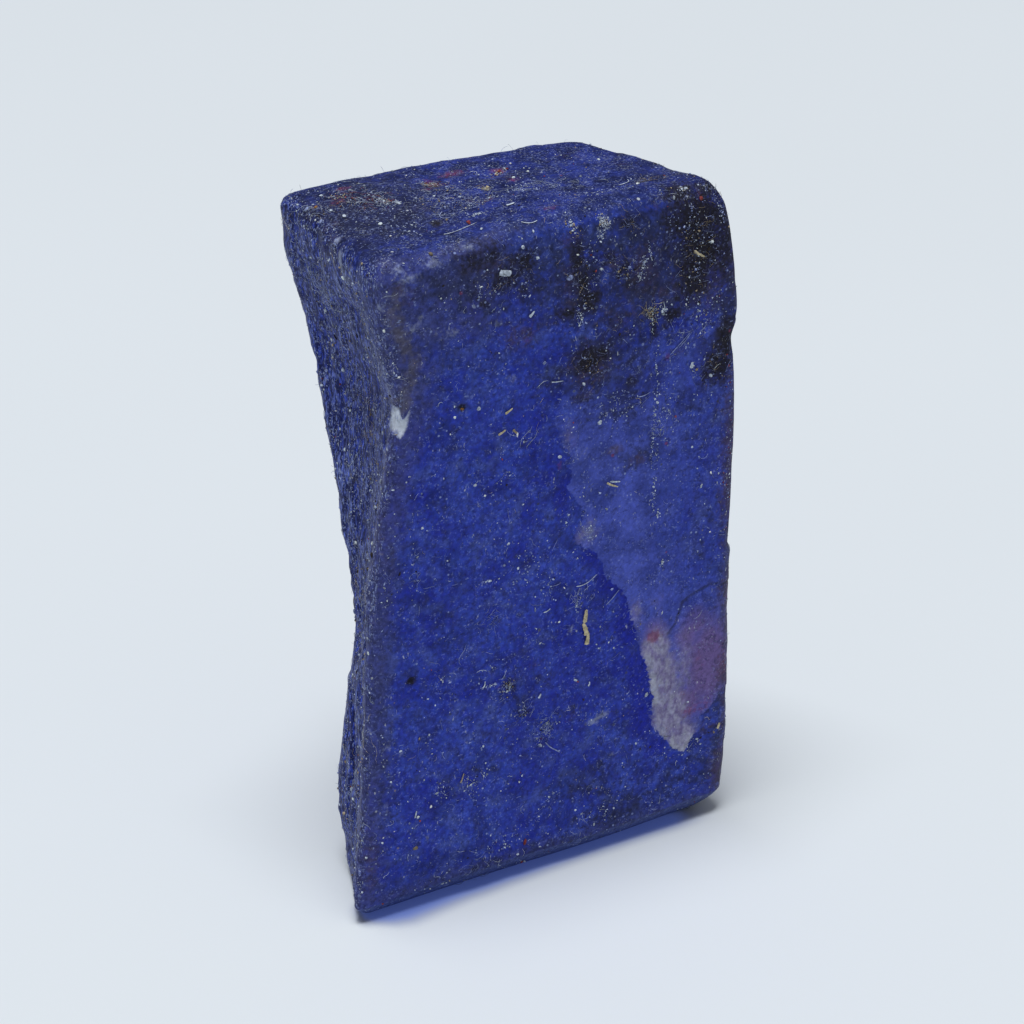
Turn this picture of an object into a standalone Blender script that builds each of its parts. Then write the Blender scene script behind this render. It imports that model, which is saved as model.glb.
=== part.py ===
"""Rough tanzanite: a worn four-sided prism of blue-violet zoisite standing on end.

The prism has four long arrises. Each is a smooth curve of height, drawn through a few
points chosen by hand. At any height the stone is the four-sided section between them,
with rounded arrises and bowed walls. An undercut round the foot and a fillet round the top
rim draw the section in, and the relief (striations, cleavage ledges, lumps and low waves)
moves the skin along its own normal.

Construction axes, in metres: X runs to the right along the broad front face, Y runs
back from it, and Z runs up from the flat end that the stone stands on. The last step
centres the stone on the box of its footprint.
"""

import bpy
import numpy as np

MM = 0.001

# The four arrises, in the order front left, front right, back right, back left. Each has
# heights, then how far right and how far back the corner lies there, in millimetres.
ARRISES_MM = (
    {"z": (0, 5, 10, 16, 22, 28, 32, 35, 38.5, 42, 46),
     "x": (-1.9, -1.35, -1.0, -0.75, -0.3, 0.6, 1.45, 1.95, 1.35, 0.65, 0.2),
     "y": (0.0, 0.0, 0.0, 0.0, 0.0, 0.0, 0.0, 0.0, 0.0, 0.0, 0.0)},
    {"z": (0, 3, 10, 18, 26, 33.4, 34.7, 35.8, 39, 42, 46),
     "x": (25.9, 26.2, 26.2, 26.1, 26.35, 26.3, 26.2, 26.6, 26.5, 26.2, 25.4),
     "y": (0.0, 0.0, 0.0, 0.0, 0.0, 0.0, 0.0, 0.0, 0.0, 0.1, 0.3)},
    {"z": (0, 6, 14, 22, 30, 38, 46),
     "x": (23.0, 23.2, 22.6, 22.2, 21.6, 21.1, 20.5),
     "y": (10.5, 10.9, 10.9, 10.7, 11.0, 11.5, 11.1)},
    {"z": (0, 2.4, 4.0, 8, 13, 18, 23, 28, 33, 37, 39.5, 42, 46),
     "x": (1.5, 1.4, 1.25, 1.45, 1.9, 2.15, 2.2, 2.1, 1.95, 1.5, 1.1, 0.6, 0.3),
     "y": (7.6, 7.6, 8.1, 7.8, 7.5, 7.3, 8.4, 9.7, 11.0, 12.0, 12.5, 12.9, 12.7)},
)

# How far the rounding of each arris reaches along its two walls, at these heights.
ROUNDING_Z_MM = (0, 10, 24, 33, 35, 39, 46)
ROUNDING_MM = (
    (0.9, 0.9, 0.8, 0.7, 0.7, 1.5, 2.1),
    (1.6, 1.5, 1.4, 1.5, 1.6, 1.9, 2.3),
    (1.8, 2.2, 2.4, 2.2, 2.2, 2.0, 1.7),
    (1.3, 1.5, 1.2, 1.2, 1.2, 1.3, 1.4),
)

# How far the middle of the front, right, back and left walls bows out, at these heights.
BOW_Z_MM = (0, 8, 18, 28, 36, 46)
BOW_MM = (
    (0.05, 0.1, 0.05, 0.0, 0.1, 0.15),
    (0.2, 0.3, 0.5, 0.5, 0.4, 0.2),
    (0.1, 0.1, 0.0, 0.1, 0.3, 0.3),
    (-0.1, -0.3, -0.5, -0.8, -0.6, -0.1),
)

# Round the rim, at each arris and a quarter and three quarters of the way along the wall
# after it, from the front left: the top's height, how high the lip over the undercut foot
# stands, how far the foot is set in from the lip, and the top's fillet.
RIM_SHARES = (0.0, 0.25, 0.75)
TOP_HEIGHT_MM = (44.9, 45.3, 45.5, 45.3, 45.2, 44.95, 45.15, 45.15, 45.1, 45.3, 45.2, 45.0)
FOOT_LIFT_MM = (1.15, 1.45, 1.5, 1.75, 1.3, 1.1, 1.2, 1.3, 1.1, 0.8, 0.8, 0.85)
FOOT_INSET_MM = (1.0, 1.2, 1.3, 1.6, 1.3, 1.4, 1.4, 1.6, 1.3, 0.9, 0.9, 0.8)
TOP_FILLET_MM = (1.5, 1.5, 1.5, 1.7, 1.5, 1.2, 1.1, 0.9, 0.9, 1.0, 1.2, 1.2)

# Relief, as the most that the skin moves.
WALL_WAVE = 0.16 * MM
TOP_WAVE = 0.22 * MM
STRIATION = 0.24 * MM
CLEAVAGE_STEP = 0.55 * MM
FLAT_FOOT_BAND = 2.4 * MM

# The undercut is a quarter of an ellipse at power 1, and a straight slope at power 2.
UNDERCUT_POWER = 1.6

# Steps of the grid: along each wall, round each arris, up the stone and over its top.
WALL_STEPS = (24, 12, 18, 13)
ARRIS_STEPS = 5
FOOT_RINGS = 5
WALL_RINGS = 31
TOP_FILLET_RINGS = 4
TOP_FACE_RINGS = 7

STONE_COLOUR = (0.030, 0.043, 0.215, 1.0)
STONE_ROUGHNESS = 0.55


def clear_scene():
    """Take every object out of the open file."""
    for item in list(bpy.data.objects):
        bpy.data.objects.remove(item, do_unlink=True)


def smooth_curve(knots, values, at):
    """Read a cubic curve through (knots, values) that has the mean slope at each knot."""
    knots = np.asarray(knots, dtype=float)
    values = np.asarray(values, dtype=float)
    at = np.clip(at, knots[0], knots[-1])
    slopes = np.gradient(values, knots)
    left = np.clip(np.searchsorted(knots, at, side="right") - 1, 0, len(knots) - 2)
    width = knots[left + 1] - knots[left]
    t = (at - knots[left]) / width
    return ((2 * t ** 3 - 3 * t ** 2 + 1) * values[left]
            + (t ** 3 - 2 * t ** 2 + t) * width * slopes[left]
            + (3 * t ** 2 - 2 * t ** 3) * values[left + 1]
            + (t ** 3 - t ** 2) * width * slopes[left + 1])


def ramp(low, high, value):
    """Rise smoothly from 0 at low to 1 at high, or fall where low is above high."""
    t = np.clip((value - low) / (high - low), 0.0, 1.0)
    return t * t * (3.0 - 2.0 * t)


def lattice_noise(points, cell_mm, seed):
    """Smooth noise from -1 to 1: random values on a lattice, blended inside each cell.

    cell_mm is the lattice spacing along X, Y and Z, so a long cell draws the noise out.
    """
    table = np.random.default_rng(seed).uniform(-1.0, 1.0, (32, 32, 32))
    place = points / (np.asarray(cell_mm) * MM) + 100.0
    base = np.floor(place).astype(int)
    part = place - base
    part = part * part * (3.0 - 2.0 * part)
    total = np.zeros(points.shape[:-1])
    for corner in np.ndindex(2, 2, 2):
        weight = np.prod(np.where(np.array(corner) == 1, part, 1.0 - part), axis=-1)
        index = (base + np.array(corner)) % 32
        total += weight * table[index[..., 0], index[..., 1], index[..., 2]]
    return total


def perimeter():
    """List the stations round a section, as the arris each one follows and two shares.

    The first share is how far the station has turned round that arris, and the second
    how far it has gone along the wall after it.
    """
    arris, turned, gone = [], [], []
    for k, steps in enumerate(WALL_STEPS):
        arris += [k] * (ARRIS_STEPS + steps)
        turned += list(np.linspace(0.0, 1.0, ARRIS_STEPS, endpoint=False)) + [1.0] * steps
        gone += [0.0] * ARRIS_STEPS + list(np.linspace(0.0, 1.0, steps, endpoint=False))
    return np.array(arris), np.array(turned), np.array(gone)


def round_the_rim(values_mm, arris, gone):
    """Spread values given at each arris and along each wall over the stations."""
    turns = np.arange(-1, 6)
    knots = (turns[:, None] + np.array(RIM_SHARES)).ravel()
    values = np.array(values_mm).reshape(4, -1)[turns % 4].ravel()
    return smooth_curve(knots, values, arris + gone) * MM


def section(heights, insets, arris, turned, gone):
    """Place every station on the section at its own height, drawn in by its own inset."""
    level = heights / MM
    corners = np.stack([np.stack([smooth_curve(a["z"], a[axis], level) for axis in "xy"],
                                 axis=-1) for a in ARRISES_MM], axis=-2) * MM
    run = np.roll(corners, -1, axis=-2) - corners
    run /= np.linalg.norm(run, axis=-1, keepdims=True)
    inward = np.stack([-run[..., 1], run[..., 0]], axis=-1)
    before = np.roll(inward, 1, axis=-2)
    opening = 1.0 + np.sum(inward * before, axis=-1, keepdims=True)
    corners = corners + insets[..., None, None] * (inward + before) / opening
    reach = np.stack([smooth_curve(ROUNDING_Z_MM, row, level) for row in ROUNDING_MM],
                     axis=-1) * MM
    reach = np.maximum(reach - 0.6 * insets[..., None], 0.35 * reach)[..., None]
    leave = corners + run * reach
    arrive = corners - np.roll(run, 1, axis=-2) * reach
    places = np.empty(heights.shape + (3,))
    places[..., 2] = heights
    for k in range(4):
        on_bend = (arris == k) & (turned < 1.0)
        t = turned[on_bend][:, None]
        places[:, on_bend, :2] = ((1 - t) ** 2 * arrive[:, on_bend, k]
                                  + 2 * t * (1 - t) * corners[:, on_bend, k]
                                  + t ** 2 * leave[:, on_bend, k])
        on_wall = (arris == k) & (turned == 1.0)
        t = gone[on_wall][:, None]
        bow = smooth_curve(BOW_Z_MM, BOW_MM[k], level[:, on_wall])[..., None] * MM
        places[:, on_wall, :2] = ((1 - t) * leave[:, on_wall, k]
                                  + t * arrive[:, on_wall, (k + 1) % 4]
                                  - 4 * t * (1 - t) * bow * inward[:, on_wall, k])
    return places


def plain_form():
    """Make the stone without relief: rings from the foot to the middle of the top."""
    arris, turned, gone = perimeter()
    top = round_the_rim(TOP_HEIGHT_MM, arris, gone)
    foot_lift = round_the_rim(FOOT_LIFT_MM, arris, gone)
    foot_inset = round_the_rim(FOOT_INSET_MM, arris, gone)
    top_fillet = round_the_rim(TOP_FILLET_MM, arris, gone)
    turn = np.linspace(0.0, np.pi / 2, FOOT_RINGS + 1)[:, None]
    foot_rings = foot_lift * (1 - np.cos(turn) ** UNDERCUT_POWER)
    foot_insets = foot_inset * (1 - np.sin(turn) ** UNDERCUT_POWER)
    climb = np.linspace(0.0, 1.0, WALL_RINGS + 2)[1:-1, None]
    wall_rings = foot_lift + climb * (top - top_fillet - foot_lift)
    turn = np.linspace(0.0, np.pi / 2, TOP_FILLET_RINGS + 1)[:, None]
    top_rings = top - top_fillet * (1 - np.sin(turn))
    top_insets = top_fillet * (1 - np.cos(turn))
    heights = np.concatenate([foot_rings, wall_rings, top_rings])
    insets = np.concatenate([foot_insets, np.zeros_like(wall_rings), top_insets])
    walls = section(heights, insets, arris, turned, gone)
    rim = walls[-1]
    centre = rim.mean(axis=0)
    shrink = (1.0 - np.arange(1, TOP_FACE_RINGS + 1) / (TOP_FACE_RINGS + 0.6))[:, None, None]
    return np.concatenate([walls, centre + shrink * (rim - centre)])


def grid_normals(places):
    """Give the outward normal at each point, from its neighbours on the grid."""
    round_it = np.roll(places, -1, axis=1) - np.roll(places, 1, axis=1)
    up_it = np.gradient(places, axis=0)
    normal = np.cross(round_it, up_it)
    return normal / np.linalg.norm(normal, axis=-1, keepdims=True)


def relief(places, normals):
    """Add up the relief, in metres along the normal."""
    x, y, z = np.moveaxis(places, -1, 0)
    on_left = ramp(0.3, 0.9, -normals[..., 0])
    on_back = ramp(0.3, 0.8, normals[..., 1])
    on_right = ramp(0.3, 0.8, normals[..., 0])
    on_top = ramp(0.4, 0.9, normals[..., 2])

    waves = WALL_WAVE * (0.6 * lattice_noise(places, (5.5, 5.5, 7.0), 3)
                         + 0.4 * lattice_noise(places, (2.4, 2.4, 2.8), 5))
    ripples = TOP_WAVE * on_top * (0.6 * lattice_noise(places, (7.0, 2.2, 9.0), 7)
                                   + 0.4 * lattice_noise(places, (2.6, 1.4, 9.0), 9))
    streaks = STRIATION * (on_left + 0.8 * on_back + 0.6 * on_right) * (
        0.7 * lattice_noise(places, (1.7, 1.7, 12.0), 11)
        + 0.3 * lattice_noise(places, (1.1, 1.1, 4.0), 13))
    return waves + ripples + streaks + ledges(x, y, z, on_back, on_right, on_left)


def ledges(x, y, z, on_back, on_right, on_left):
    """Raise a broken cleavage sheet on the back, step the right wall, lump the left."""
    sheet_left = (6.5 + 0.9 * np.sin(z / (5.1 * MM))) * MM - 0.10 * (z - 20.0 * MM)
    sheet_right = (15.5 + 0.8 * np.sin(z / (4.3 * MM) + 1.0)) * MM + 0.06 * z
    sheet_low = (7.5 + 0.7 * np.sin(x / (1.3 * MM))) * MM + 0.25 * (x - 10.0 * MM)
    sheet = (ramp(-0.5 * MM, 0.5 * MM, x - sheet_left)
             * ramp(-0.5 * MM, 0.5 * MM, sheet_right - x)
             * ramp(-0.6 * MM, 0.6 * MM, z - sheet_low)
             * ramp(43.5 * MM, 38.0 * MM, z))
    scar = np.exp(-((x - 10.5 * MM) / (5.0 * MM)) ** 2 - ((z - 35.5 * MM) / (4.2 * MM)) ** 2)
    side = ramp(-0.6 * MM, 0.6 * MM, z - 24.0 * MM - 0.9 * (y - 5.0 * MM))
    lump = np.exp(-((z - 10.0 * MM) / (6.0 * MM)) ** 2) * ramp(2.5 * MM, 6.0 * MM, y)
    return (CLEAVAGE_STEP * on_back * (sheet - 1.1 * scar)
            - 0.8 * CLEAVAGE_STEP * on_right * side
            + 0.25 * MM * on_left * lump)


def stone_grid():
    """Give the finished skin, centred on its footprint box, as rings x stations x 3."""
    places = plain_form()
    normals = grid_normals(places)
    fade = ramp(0.0, FLAT_FOOT_BAND, places[..., 2])
    places = places + normals * (relief(places, normals) * fade)[..., None]
    places[..., 2] = np.maximum(places[..., 2], 0.0)
    low = places.min(axis=(0, 1))
    high = places.max(axis=(0, 1))
    return places - np.array([(low[0] + high[0]) / 2, (low[1] + high[1]) / 2, 0.0])


def stone_material():
    """Make the stone's own finish: deep violet blue with a dull, worn surface."""
    material = bpy.data.materials.new("tanzanite_blue")
    material.use_nodes = True
    shader = material.node_tree.nodes["Principled BSDF"]
    shader.inputs["Base Color"].default_value = STONE_COLOUR
    shader.inputs["Roughness"].default_value = STONE_ROUGHNESS
    shader.inputs["Metallic"].default_value = 0.0
    material.diffuse_color = STONE_COLOUR
    return material


def build_stone():
    """Close the rings into one solid: walls, a fan over the top and one flat foot."""
    grid = stone_grid()
    rings, stations = grid.shape[:2]
    peak = grid[-1].mean(axis=0)
    vertices = np.vstack([grid.reshape(-1, 3), peak])
    here = np.arange(stations)
    following = (here + 1) % stations
    faces = []
    for ring in range(rings - 1):
        low = ring * stations
        high = low + stations
        faces += np.stack([low + here, low + following, high + following, high + here],
                          axis=1).tolist()
    last = (rings - 1) * stations
    faces += np.stack([last + here, last + following,
                       np.full(stations, len(vertices) - 1)], axis=1).tolist()
    faces.append(here[::-1].tolist())
    mesh = bpy.data.meshes.new("tanzanite_stone")
    mesh.from_pydata(vertices.tolist(), [], faces)
    mesh.shade_smooth()
    mesh.set_sharp_from_angle(angle=np.radians(50.0))
    mesh.materials.append(stone_material())
    stone = bpy.data.objects.new("tanzanite_stone", mesh)
    bpy.context.scene.collection.objects.link(stone)
    return stone


def main():
    clear_scene()
    build_stone()


if __name__ == "__main__":
    main()
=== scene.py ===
"""The looks of a rough tanzanite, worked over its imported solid.

The stone's fine skin follows the same design as the solid, on a much finer grid: four
arrises that are smooth curves of height, rounded and bowed sections between them,
filleted rims, and relief along the normal. Places on the stone are given in construction
axes, in millimetres: X runs right along the front face, Y back from it and Z up from the
foot. Finished pieces are centred on the frame's own box.
"""
import collections
import functools

import bpy
import numpy as np
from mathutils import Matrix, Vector


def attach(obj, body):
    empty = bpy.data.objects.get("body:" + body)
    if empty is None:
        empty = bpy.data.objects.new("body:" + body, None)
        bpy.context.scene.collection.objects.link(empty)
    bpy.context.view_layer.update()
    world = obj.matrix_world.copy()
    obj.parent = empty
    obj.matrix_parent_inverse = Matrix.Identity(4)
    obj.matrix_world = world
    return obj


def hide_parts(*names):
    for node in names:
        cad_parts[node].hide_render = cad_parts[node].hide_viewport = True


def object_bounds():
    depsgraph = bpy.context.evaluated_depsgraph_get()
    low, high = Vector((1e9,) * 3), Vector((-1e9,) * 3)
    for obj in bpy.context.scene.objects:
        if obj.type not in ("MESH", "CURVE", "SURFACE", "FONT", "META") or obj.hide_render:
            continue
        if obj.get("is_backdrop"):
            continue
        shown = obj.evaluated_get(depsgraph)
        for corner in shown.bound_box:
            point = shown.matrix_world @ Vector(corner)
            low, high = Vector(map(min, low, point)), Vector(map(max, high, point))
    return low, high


bl_info = {
    "name": "Rough tanzanite",
    "version": (1, 0, 0),
    "blender": (4, 5, 0),
    "location": "3D View > Sidebar > Tanzanite",
    "description": "Dresses the solid of a rough tanzanite with its skin, stains and dust",
    "category": "Object",
}

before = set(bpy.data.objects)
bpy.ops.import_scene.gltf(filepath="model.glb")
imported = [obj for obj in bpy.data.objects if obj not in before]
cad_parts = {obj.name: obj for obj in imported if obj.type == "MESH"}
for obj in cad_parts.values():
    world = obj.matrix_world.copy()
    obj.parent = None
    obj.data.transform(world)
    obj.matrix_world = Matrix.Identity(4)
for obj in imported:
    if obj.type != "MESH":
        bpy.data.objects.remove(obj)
SOLID_LOW, SOLID_HIGH = (np.array(corner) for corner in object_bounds())
STONE_NODE = "tanzanite_stone"
MM = 0.001
BLACK = (0.0, 0.0, 0.0)

# --- The form of the stone, as in the solid ---

# Front left, front right, back right and back left arris: heights, then the corner's
# place to the right and to the back there, in millimetres.
ARRISES_MM = (
    {"z": (0, 5, 10, 16, 22, 28, 32, 35, 38.5, 42, 46),
     "x": (-1.9, -1.35, -1.0, -0.75, -0.3, 0.6, 1.45, 1.95, 1.35, 0.65, 0.2),
     "y": (0.0, 0.0, 0.0, 0.0, 0.0, 0.0, 0.0, 0.0, 0.0, 0.0, 0.0)},
    {"z": (0, 3, 10, 18, 26, 33.4, 34.7, 35.8, 39, 42, 46),
     "x": (25.9, 26.2, 26.2, 26.1, 26.35, 26.3, 26.2, 26.6, 26.5, 26.2, 25.4),
     "y": (0.0, 0.0, 0.0, 0.0, 0.0, 0.0, 0.0, 0.0, 0.0, 0.1, 0.3)},
    {"z": (0, 6, 14, 22, 30, 38, 46),
     "x": (23.0, 23.2, 22.6, 22.2, 21.6, 21.1, 20.5),
     "y": (10.5, 10.9, 10.9, 10.7, 11.0, 11.5, 11.1)},
    {"z": (0, 2.4, 4.0, 8, 13, 18, 23, 28, 33, 37, 39.5, 42, 46),
     "x": (1.5, 1.4, 1.25, 1.45, 1.9, 2.15, 2.2, 2.1, 1.95, 1.5, 1.1, 0.6, 0.3),
     "y": (7.6, 7.6, 8.1, 7.8, 7.5, 7.3, 8.4, 9.7, 11.0, 12.0, 12.5, 12.9, 12.7)},
)
ROUNDING_Z_MM = (0, 10, 24, 33, 35, 39, 46)
ROUNDING_MM = (
    (0.9, 0.9, 0.8, 0.7, 0.7, 1.5, 2.1),
    (1.6, 1.5, 1.4, 1.5, 1.6, 1.9, 2.3),
    (1.8, 2.2, 2.4, 2.2, 2.2, 2.0, 1.7),
    (1.3, 1.5, 1.2, 1.2, 1.2, 1.3, 1.4),
)
BOW_Z_MM = (0, 8, 18, 28, 36, 46)
BOW_MM = (
    (0.05, 0.1, 0.05, 0.0, 0.1, 0.15),
    (0.2, 0.3, 0.5, 0.5, 0.4, 0.2),
    (0.1, 0.1, 0.0, 0.1, 0.3, 0.3),
    (-0.1, -0.3, -0.5, -0.8, -0.6, -0.1),
)

# Round the rim, at each arris and at these shares of the wall after it.
RIM_SHARES = (0.0, 0.25, 0.75)
TOP_HEIGHT_MM = (44.9, 45.3, 45.5, 45.3, 45.2, 44.95, 45.15, 45.15, 45.1, 45.3, 45.2, 45.0)
FOOT_LIFT_MM = (1.15, 1.45, 1.5, 1.75, 1.3, 1.1, 1.2, 1.3, 1.1, 0.8, 0.8, 0.85)
FOOT_INSET_MM = (1.0, 1.2, 1.3, 1.6, 1.3, 1.4, 1.4, 1.6, 1.3, 0.9, 0.9, 0.8)
TOP_FILLET_MM = (1.5, 1.5, 1.5, 1.7, 1.5, 1.2, 1.1, 0.9, 0.9, 1.0, 1.2, 1.2)

WALL_WAVE = 0.16 * MM
TOP_WAVE = 0.22 * MM
STRIATION = 0.24 * MM
CLEAVAGE_STEP = 0.55 * MM
FLAT_FOOT_BAND = 2.4 * MM
UNDERCUT_POWER = 1.6

# The fine grid: steps along each wall, round each arris, up the stone and over its top.
WALL_STEPS = (122, 52, 86, 58)
ARRIS_STEPS = 7
FOOT_RINGS = 8
WALL_RINGS = 228
TOP_FILLET_RINGS = 10
TOP_FACE_RINGS = 30

# --- What is seen on the skin, in construction millimetres ---

# The pale skin that overlies the right of the front face, anticlockwise from its top.
PALE_SKIN_OUTLINE_MM = (
    (13.2, 34.6), (12.5, 32.1), (13, 30.6), (13.6, 29.4), (13.8, 28), (13.5, 27.2), (14.3, 26),
    (14.8, 25.1), (14.2, 24.3), (13.9, 23.4), (14.6, 22.8), (15.6, 22.1), (16, 21.2),
    (16.4, 20), (17.3, 19.1), (17.9, 18.3), (18.1, 17.2), (18.5, 15.8), (18.9, 14.2),
    (19.6, 12.3), (19.7, 11.3), (20, 10.3), (19.8, 9.1), (20, 8.1), (20.7, 7.3), (21.6, 6.1),
    (22.5, 5.4), (22.9, 6.3), (23.8, 6.9), (23.7, 7.8), (24.3, 8.2), (24.9, 8.9), (25.3, 9.4),
    (28.5, 9.8), (28.5, 35.5), (20, 36.5))
# The hairline crack across it.
CRACK_MM = (
    (26.4, 17.2), (25, 17.3), (24.2, 17.6), (23.6, 17.4), (22.6, 17.1), (22.1, 16.8),
    (21.8, 16), (21.5, 15.3), (21, 14.8))
# The groove down the front left arris, and the bare chip below it.
GROOVE_MM = (
    (2.1, 43), (1.7, 41.8), (1.9, 40.6), (2.5, 39.2), (3.1, 38.2), (2.6, 37), (2.3, 35.6))
CHIP_OUTLINE_MM = (
    (1.25, 35.8), (1.95, 35.4), (2.15, 34.7), (2.4, 34.9), (2.85, 35.5), (2.65, 34.8),
    (2.35, 33.9), (1.95, 33.3), (1.6, 34.1))

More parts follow.
